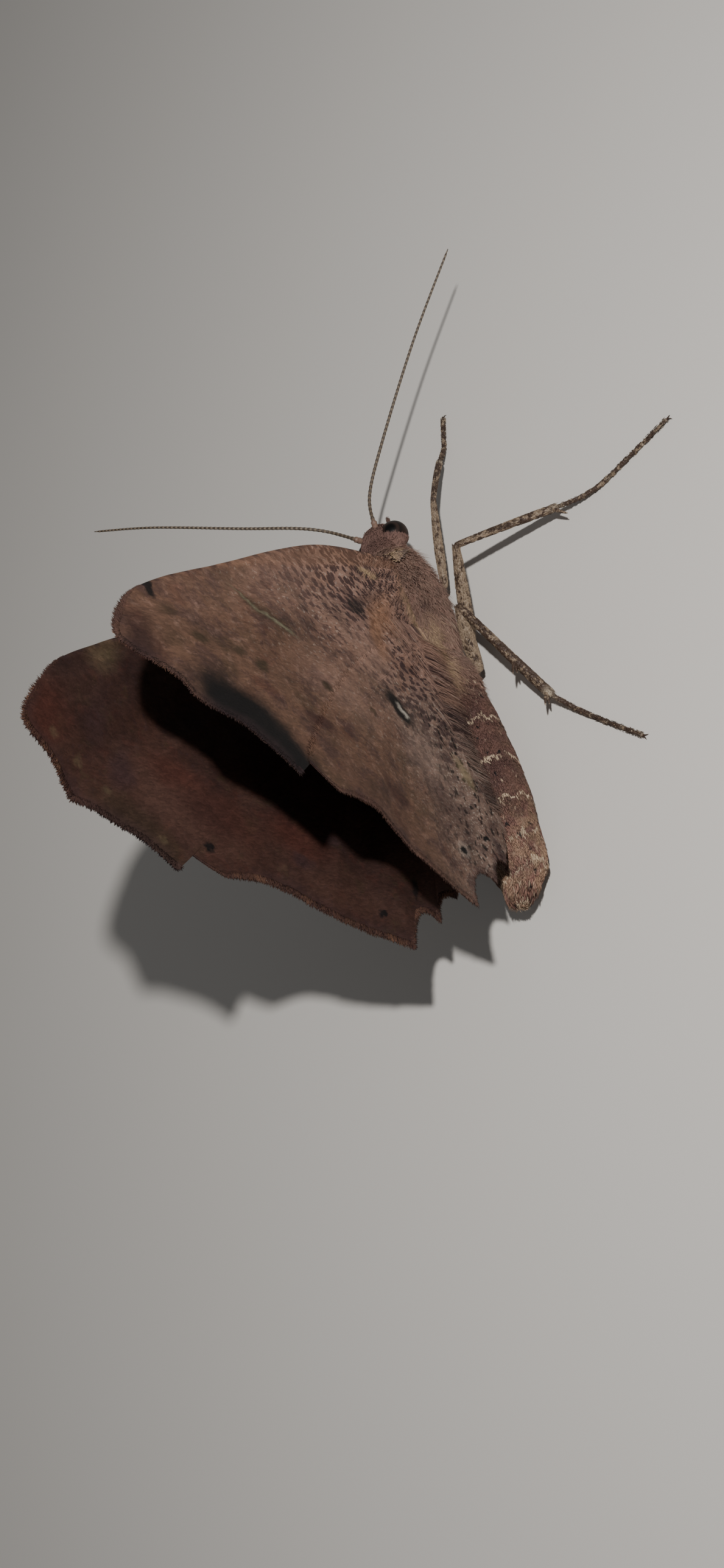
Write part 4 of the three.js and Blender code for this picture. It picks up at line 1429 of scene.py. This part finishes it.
class MothLook(bpy.types.PropertyGroup):
    """Colours of the moth and its floor."""

    beige: tint("Beige", "Under face of the wings", (0.225, 0.135, 0.102))
    mauve: tint("Mauve", "Clouds on the under face", (0.180, 0.104, 0.082))
    tan: tint("Tan", "Under face near the tips", (0.088, 0.046, 0.029))
    grey: tint("Grey", "Under face near the body", (0.165, 0.112, 0.090))
    pink: tint("Pink", "Hinge and veins", (0.290, 0.172, 0.130))
    orange: tint("Orange", "Warm patches", (0.230, 0.115, 0.062))
    rust: tint("Rust", "Red-brown streaks", (0.040, 0.018, 0.014))
    dark: tint("Dark", "Dashes and clouds", (0.030, 0.016, 0.017))
    black: tint("Black", "Dots", (0.006, 0.005, 0.005))
    white: tint("White", "White scales", (0.520, 0.470, 0.400))
    pale: tint("Pale", "Pale yellow-green marks", (0.200, 0.160, 0.085))
    lichen: tint("Lichen", "Pale line on the under face", (0.130, 0.118, 0.075))
    olive: tint("Olive", "Olive marks", (0.036, 0.023, 0.013))
    slate: tint("Slate", "Dark blotch at the edge", (0.0035, 0.0027, 0.0028))
    lilac: tint("Lilac", "Lilac-grey clouds on the upper face", (0.062, 0.031, 0.023))
    red: tint("Red", "Red clouds on the upper face", (0.052, 0.017, 0.012))
    rust_brown: tint("Rust brown", "Upper face of the wings", (0.040, 0.018, 0.013))
    deep_brown: tint("Deep brown", "Shade on the upper face", (0.025, 0.012, 0.010))
    fringe: tint("Fringe", "Scales at the wing's edge", (0.170, 0.085, 0.048))
    fur: tint("Fur", "Thorax fur", (0.262, 0.155, 0.116))
    fur_dark: tint("Dark fur", "Shade in the fur", (0.150, 0.086, 0.066))
    fur_pink: tint("Pink fur", "Pink in the fur", (0.310, 0.172, 0.138))
    fur_tip: tint("Fur tips", "Ends of the fur", (0.400, 0.285, 0.220))
    head_fur: tint("Head fur", "Fur on the head", (0.150, 0.084, 0.070))
    fan: tint("Fan", "Yellow-brown hair by the wing", (0.390, 0.272, 0.155))
    abdomen: tint("Abdomen", "Scales of the abdomen", (0.150, 0.074, 0.057))
    abdomen_dark: tint("Dark abdomen", "Shade on the abdomen", (0.105, 0.052, 0.042))
    cream: tint("Cream", "Lines and flecks on the abdomen", (0.460, 0.350, 0.240))
    leg_pale: tint("Pale leg", "Light scales of the legs", (0.245, 0.178, 0.120))
    leg_dark: tint("Dark leg", "Dark scales of the legs", (0.058, 0.035, 0.024))
    leg_ring: tint("Leg rings", "Rings at the joints", (0.380, 0.310, 0.225))
    claw: tint("Claw", "Claws", (0.040, 0.018, 0.010))
    feeler: tint("Feeler", "Feelers", (0.060, 0.042, 0.028))
    feeler_pale: tint("Pale feeler", "Rings of the feelers", (0.150, 0.115, 0.080))
    eye: tint("Eye", "Eyes", (0.009, 0.006, 0.005))
    # Painted sheen towards the eyes' edge, and the painted ring and dark spot of the eyes.
    eye_sheen: tint("Eye rim", "Eyes near their edge", (0.026, 0.014, 0.010))
    eye_ring: tint("Eye ring", "Ring round the eyes' dark spot", (0.030, 0.018, 0.014))
    eye_spot: tint("Eye spot", "Dark spot of the eyes", (0.002, 0.002, 0.002))
    floor: tint("Floor", "The floor", (0.620, 0.585, 0.540))
    floor_shade: tint("Floor shade", "Faint shade on the floor", (0.580, 0.545, 0.500))


class MothStage(bpy.types.PropertyGroup):
    """Camera and lights."""

    azimuth: FloatProperty(name="Azimuth", description="The camera's place round the moth",
                           default=math.radians(230), subtype="ANGLE")
    elevation: FloatProperty(name="Elevation", description="The camera's height over the floor as an angle",
                             default=math.radians(41.5), subtype="ANGLE")
    roll: FloatProperty(name="Roll", description="How far the camera is turned about its own line of sight",
                        default=math.radians(77.5), subtype="ANGLE")
    distance: measure("Distance", "From the camera to the place that it looks at", 0.080)
    lens: FloatProperty(name="Lens", description="Focal length in millimetres", default=41.2)
    target: FloatVectorProperty(name="Target", description="The place that the camera looks at",
                                default=(0.0045, 0.004579, 0.004), size=3, subtype="TRANSLATION")
    key: FloatProperty(name="Key light", description="Power of the main light", default=0.092, unit="POWER")
    key_size: measure("Key size", "Width of the main light", 0.003)
    key_place: FloatVectorProperty(name="Key place", description="Where the main light stands",
                                   default=(-0.054, 0.027, 0.072), size=3, subtype="TRANSLATION")
    fill: FloatProperty(name="Fill", description="Strength of the light from all round", default=0.15)


class MothSettings(bpy.types.PropertyGroup):
    """All of the moth's settings."""

    shape: PointerProperty(type=MothShape, name="Shape", description="Coat and wings")
    look: PointerProperty(type=MothLook, name="Look", description="Colours")
    stage: PointerProperty(type=MothStage, name="Stage", description="Camera and lights")


# --- operators ----------------------------------------------------------------------------------

FLOOR_SIZE = 1.6  # metres


def add_floor(look):
    """A plain floor at the moth's feet."""
    mesh = bpy.data.meshes.new("floor")
    half = FLOOR_SIZE / 2
    corners = [(x * half, y * half, 0) for x, y in ((-1, -1), (1, -1), (1, 1), (-1, 1))]
    mesh.from_pydata(corners, [], [(0, 1, 2, 3)])
    mesh.materials.append(floor_finish(look))
    floor = bpy.data.objects.new("floor", mesh)
    bpy.context.scene.collection.objects.link(floor)


def add_lights(stage):
    """One small main light, and light from all round."""
    light = bpy.data.lights.new("key_light", "AREA")
    light.shape = "DISK"
    light.size = stage.key_size
    light.energy = stage.key
    lamp = bpy.data.objects.new("key_light", light)
    lamp.location = stage.key_place
    way = Vector(stage.key_place) - Vector(stage.target)
    lamp.rotation_euler = way.to_track_quat("Z", "Y").to_euler()
    bpy.context.scene.collection.objects.link(lamp)

    world = bpy.data.worlds.new("studio")
    world.use_nodes = True
    background = world.node_tree.nodes["Background"]
    background.inputs["Color"].default_value = (0.95, 0.97, 1.0, 1.0)
    background.inputs["Strength"].default_value = stage.fill
    bpy.context.scene.world = world


def add_camera(stage):
    """The camera, turned about its own line of sight."""
    data = bpy.data.cameras.new("camera")
    data.sensor_width = 36
    data.lens = stage.lens
    data.clip_start = 0.002
    data.clip_end = 10
    camera = bpy.data.objects.new("camera", data)
    back = Vector((
        math.sin(stage.azimuth) * math.cos(stage.elevation),
        -math.cos(stage.azimuth) * math.cos(stage.elevation),
        math.sin(stage.elevation),
    ))
    right = Vector((0, 0, 1)).cross(back).normalized()
    up = back.cross(right)
    across = right * math.cos(stage.roll) - up * math.sin(stage.roll)
    upward = right * math.sin(stage.roll) + up * math.cos(stage.roll)
    turn = Matrix((across, upward, back)).transposed().to_4x4()
    camera.matrix_world = Matrix.Translation(Vector(stage.target) + back * stage.distance) @ turn
    bpy.context.scene.collection.objects.link(camera)
    bpy.context.scene.camera = camera


class MOTH_OT_stage(bpy.types.Operator):
    """Adds the floor, the lights and the camera"""

    bl_idname = "moth.add_stage"
    bl_label = "Stage"

    def execute(self, context):
        settings = context.scene.moth
        add_floor(settings.look)
        add_lights(settings.stage)
        add_camera(settings.stage)
        return {"FINISHED"}


def trunk_of(shape):
    """The trunk, as far inside its bodies as the coat is deep."""
    return Trunk([depth / MM for depth in (shape.head_depth, shape.thorax_depth, shape.abdomen_depth)])


class MOTH_OT_skin(bpy.types.Operator):
    """Adds one skin over head, thorax and abdomen"""

    bl_idname = "moth.add_skin"
    bl_label = "Skin"

    def execute(self, context):
        settings = context.scene.moth
        trunk = trunk_of(settings.shape)
        rows, columns = 320, 128
        station, angle = np.meshgrid(np.linspace(0.004, 0.996, rows),
                                     np.linspace(-np.pi, np.pi, columns, endpoint=False), indexing="ij")
        ends = trunk.point(np.array([0.0, 1.0]), np.zeros(2))
        points = np.concatenate([trunk.point(station, angle).reshape(-1, 3), ends])
        count = len(points)
        attributes = {"place": points, "grow": np.zeros(count), "lot": np.full(count, 0.3)}
        add_piece("skin", points, closed_faces(rows, columns),
                  finish_named("trunk_paint", trunk_finish, settings.look),
                  ["head", "thorax", "abdomen_front", "abdomen_rear"], attributes)
        return {"FINISHED"}


# Name, share of the fur's length, width, lift and spread of each layer.
THORAX_LAYERS = (("under", 0.75, 0.070, 0.30, 0.26), ("over", 1.0, 0.040, 0.50, 0.28))


def add_thorax_fur(trunk, shape, finish, rng):
    """Two layers of fur, shorter to the rear, with some hairs that stand out."""
    for layer, share, width, stand, spread in THORAX_LAYERS:
        station, angle = trunk.scatter(rng, shape.thorax_count, -4.3, 3.7)
        tufts = trunk_tufts(trunk, rng, station, angle, 0.0, spread)
        y = tufts.root[:, 1]
        size = shape.thorax_hair / MM * share * (0.6 + 0.5 * rng.random(len(y)))
        size = size * (1 - 0.4 * smooth(1.5, 3.6, y))
        lift = stand + 0.12 * rng.random(len(y)) + 0.3 * rng.random(len(y)) ** 4
        add_coat(f"thorax_{layer}fur", tufts, size, width, lift, stand * 0.6, finish, rng, rings=3,
                 blunt=0.7, sway=0.14)


def add_head_fur(trunk, shape, finish, rng):
    """Short fur on the head, and a collar that stands up behind it."""
    station, angle = trunk.scatter(rng, shape.head_count, trunk.front + 0.02, -3.9, clear_of_eyes)
    tufts = trunk_tufts(trunk, rng, station, angle, 0.0, 0.3)
    y = tufts.root[:, 1]
    size = shape.head_hair / MM * (0.6 + 0.6 * rng.random(len(y))) * (0.7 + 0.7 * smooth(-5.6, -4.2, y))
    add_coat("head_fur", tufts, size, 0.042, 0.35, 0.2, finish, rng, blunt=0.7)

    station, angle = trunk.scatter(rng, COUNTS["collar"], -4.85, -3.7, clear_of_eyes)
    tufts = trunk_tufts(trunk, rng, station, angle, 0.0, 0.5)
    size = 0.26 + 0.12 * rng.random(len(station))
    add_coat("collar_fur", tufts, size, 0.05, 1.1, 0.5, finish, rng, rings=3, blunt=0.7, sway=0.3)


def fan_tufts(trunk, rng, side):
    """Long hair beside the wings."""
    count = COUNTS["fan"]
    y = rng.uniform(-0.3, 4.5, count)
    angle = side * np.radians(rng.normal(53, 10, count))
    return trunk_tufts(trunk, rng, trunk.station_at(y), angle, side * 0.22, 0.22)


def add_side_fur(trunk, finish, rng):
    """Fur round the eyes, long hair beside the wings, and the two marks on each shoulder."""
    for name, side in SIDES:
        tufts = orbit_tufts(rng, side, COUNTS["orbit"])
        size = 0.13 + 0.08 * rng.random(len(tufts.root))
        add_coat(f"orbit_fur_{name}", tufts, size, 0.05, 0.14, 0.05, finish, rng, blunt=0.7, sway=0.2)
    for name, side in SIDES:
        tufts = fan_tufts(trunk, rng, side)
        size = 0.7 + 0.6 * rng.random(len(tufts.root))
        add_coat(f"fan_hair_{name}", tufts, size, 0.036, 0.28, 0.16, finish, rng, rings=3, blunt=0.8,
                 sway=0.2)
    for name, side in SIDES:
        tufts = joined([shoulder_tufts(trunk, rng, side, *mark) for mark in SHOULDER])
        size = 0.5 + 0.1 * rng.random(len(tufts.root))
        add_coat(f"shoulder_fur_{name}", tufts, size, 0.075, 1.05, 0.3, finish, rng, rings=3,
                 blunt=0.3)


def add_abdomen_scales(trunk, shape, finish, rng):
    """Scales that stand up where a ring ends and are longest at the tail."""
    station, angle = trunk.scatter(rng, shape.abdomen_count, 2.6, trunk.rear - 0.01)
    tufts = trunk_tufts(trunk, rng, station, angle, 0.0, 0.25)
    y = tufts.root[:, 1]
    near_end = np.min([np.abs(y - end + 0.12) for end in SEGMENT_ENDS], axis=0)
    size = shape.abdomen_scale / MM * (0.7 + 0.6 * rng.random(len(y))) * (1 + 0.3 * (near_end < 0.15))
    size = size * (1 + 0.9 * smooth(12.9, 13.7, y))
    lift = 0.08 + 0.22 * (near_end < 0.12) + 0.3 * smooth(12.7, 13.7, y) + 0.12 * rng.random(len(y))
    add_coat("abdomen_scales", tufts, size, 0.07, lift, 0.05, finish, rng, blunt=0.3)


class MOTH_OT_coat(bpy.types.Operator):
    """Adds the fur of head and thorax and the scales of the abdomen"""

    bl_idname = "moth.add_coat"
    bl_label = "Coat"

    def execute(self, context):
        settings = context.scene.moth
        trunk = trunk_of(settings.shape)
        finish = finish_named("trunk_paint", trunk_finish, settings.look)
        rng = np.random.default_rng(SEEDS["coat"])
        add_thorax_fur(trunk, settings.shape, finish, rng)
        add_head_fur(trunk, settings.shape, finish, rng)
        add_side_fur(trunk, finish, rng)
        add_abdomen_scales(trunk, settings.shape, finish, rng)
        return {"FINISHED"}


class MOTH_OT_eyes(bpy.types.Operator):
    """Adds the two eyes"""

    bl_idname = "moth.add_eyes"
    bl_label = "Eyes"

    def execute(self, context):
        look = context.scene.moth.look
        rows, columns = 40, 64
        polar, round_ = np.meshgrid(np.linspace(0.02, np.pi - 0.02, rows),
                                    np.linspace(0, 2 * np.pi, columns, endpoint=False), indexing="ij")
        ball = np.stack([np.cos(polar), np.sin(polar) * np.cos(round_), np.sin(polar) * np.sin(round_)], -1)
        ball = np.concatenate([ball.reshape(-1, 3), [(1, 0, 0), (-1, 0, 0)]])
        for name, side in SIDES:
            centre = np.array((EYE["x"] * side, EYE["y"], EYE["z"]))
            add_piece(f"eye_{name}_ball", centre + ball * EYE["radius"], closed_faces(rows, columns),
                      eye_finish(look, side), [f"eye_{name}"], {"place": ball})
        return {"FINISHED"}


FEELER_RINGS = 64


def add_feeler(name, finish):
    """A thin feeler in rings, thicker at its root."""
    points = np.asarray(FEELERS[name], float)
    line = respaced(np.r_[points[:1], spline(points, 30)], 760)
    share = np.linspace(0, 1, len(line))
    bulge = 0.5 + 0.5 * np.cos(2 * np.pi * FEELER_RINGS * share)
    radius = mix(0.085, 0.05, share) * (1 - 0.16 * bulge) * (1 - smooth(0.97, 1.0, share) * 0.6)
    radius = radius + 0.045 * (1 - smooth(0.022, 0.03, share)) + 0.02 * (1 - smooth(0.035, 0.045, share))
    points, quads, ends, along = sweep(line, radius, 8)
    chart = np.stack([along * FEELER_RINGS, along, 0 * along], -1)
    add_piece(f"antenna_{name}_filament", points, [quads, ends], finish, [f"antenna_{name}"],
              {"chart": chart, "place": points})


def add_palp(name, side, finish, rng):
    """A palp and its fur."""
    line = limb_line(outwards(PALP["root"], side), outwards(PALP["tip"], side), 18, 0.08)
    t = np.linspace(0, 1, len(line))
    count = COUNTS["palp"]
    root, run, normal, share, turn = limb_seats(line, np.full(len(line), PALP["radius"] * 0.60), count, rng)
    unwrap = np.stack([0.02 + 0.3 * share + (0.5 if side > 0 else 0), 0.02 + 0.9 * turn], -1)
    add_coat(f"palp_{name}_fur", Tufts(root, run, normal, unwrap, {"place": root}), 0.08, 0.04, 0.05, 0.03,
             finish, rng, blunt=0.7, sway=0.2)
    points, quads, ends, along = sweep(line, PALP["radius"] * (0.44 + 0.26 * np.sin(np.pi * t)), 12)
    attributes = {"place": points, "grow": along, "lot": np.full(len(points), 0.4)}
    add_piece(f"palp_{name}_scaled", points, [quads, ends], finish, [f"palp_{name}"], attributes)


class MOTH_OT_feelers(bpy.types.Operator):
    """Adds the two feelers and the two palps"""

    bl_idname = "moth.add_feelers"
    bl_label = "Feelers"

    def execute(self, context):
        look = context.scene.moth.look
        finish = finish_named("feeler_paint", feeler_finish, look)
        fur = finish_named("trunk_paint", trunk_finish, look)
        rng = np.random.default_rng(SEEDS["feelers"])
        for name, side in SIDES:
            add_feeler(name, finish)
            add_palp(name, side, fur, rng)
        return {"FINISHED"}


class MOTH_OT_wings(bpy.types.Operator):
    """Adds the four wings with their fringes and hair"""

    bl_idname = "moth.add_wings"
    bl_label = "Wings"

    def execute(self, context):
        settings = context.scene.moth
        finish = finish_named("wing_paint", wing_finish, settings.look)
        for number, pair in enumerate(("fore", "hind")):
            for name, side in SIDES:
                rng = np.random.default_rng(SEEDS["wings"] + 2 * number + side)
                wing = Wing(pair, name, side)
                add_wing(wing, settings.shape, finish)
                add_fringe(wing, settings.shape, finish, rng)
                add_wing_hair(wing, finish, rng)
        return {"FINISHED"}


class MOTH_OT_legs(bpy.types.Operator):
    """Adds the six legs and their scales"""

    bl_idname = "moth.add_legs"
    bl_label = "Legs"

    def execute(self, context):
        look = context.scene.moth.look
        finish = finish_named("leg_paint", leg_finish, look)
        rng = np.random.default_rng(SEEDS["legs"])
        seats = []
        for number, pair in enumerate(LEGS):
            for name, side in SIDES:
                index = number * 2 + (side > 0)
                lines = add_leg(pair, name, side, index, finish)
                seats += leg_seats(lines, index, rng)
        tufts = joined(seats)
        count = len(tufts.root)
        # Near the floor the scales lie level.
        tufts.lie[:, 2] = np.maximum(tufts.lie[:, 2], -np.clip(tufts.root[:, 2] - 0.03, 0, 0.2) / 0.2)
        size = (0.11 + 0.1 * rng.random(count)) * np.where(tufts.paint["chart"][:, 1] > 1.5, 0.6, 1.0)
        add_coat("leg_coat", tufts, size, 0.055, 0.12, 0.06, finish, rng, blunt=0.4)
        return {"FINISHED"}


OPERATORS = (
    MOTH_OT_stage, MOTH_OT_skin, MOTH_OT_coat, MOTH_OT_eyes, MOTH_OT_feelers, MOTH_OT_wings, MOTH_OT_legs,
)


class MOTH_PT_panel(bpy.types.Panel):
    """Lists the moth's pieces and settings"""

    bl_idname = "MOTH_PT_panel"
    bl_label = "Moth"
    bl_space_type = "VIEW_3D"
    bl_region_type = "UI"
    bl_category = "Moth"

    def draw(self, context):
        for operator in OPERATORS:
            self.layout.operator(operator.bl_idname)
        settings = context.scene.moth
        for group in (settings.shape, settings.look, settings.stage):
            box = self.layout.box()
            for name in group.__annotations__:
                box.prop(group, name)


CLASSES = (MothShape, MothLook, MothStage, MothSettings, *OPERATORS, MOTH_PT_panel)


def register():
    for cls in CLASSES:
        bpy.utils.register_class(cls)
    bpy.types.Scene.moth = PointerProperty(type=MothSettings)


def unregister():
    del bpy.types.Scene.moth
    for cls in reversed(CLASSES):
        bpy.utils.unregister_class(cls)


def main():
    """Builds the moth in order."""
    register()
    bpy.ops.moth.add_stage()
    bpy.ops.moth.add_skin()
    bpy.ops.moth.add_coat()
    bpy.ops.moth.add_eyes()
    bpy.ops.moth.add_feelers()
    bpy.ops.moth.add_wings()
    bpy.ops.moth.add_legs()


if __name__ == "__main__":
    main()
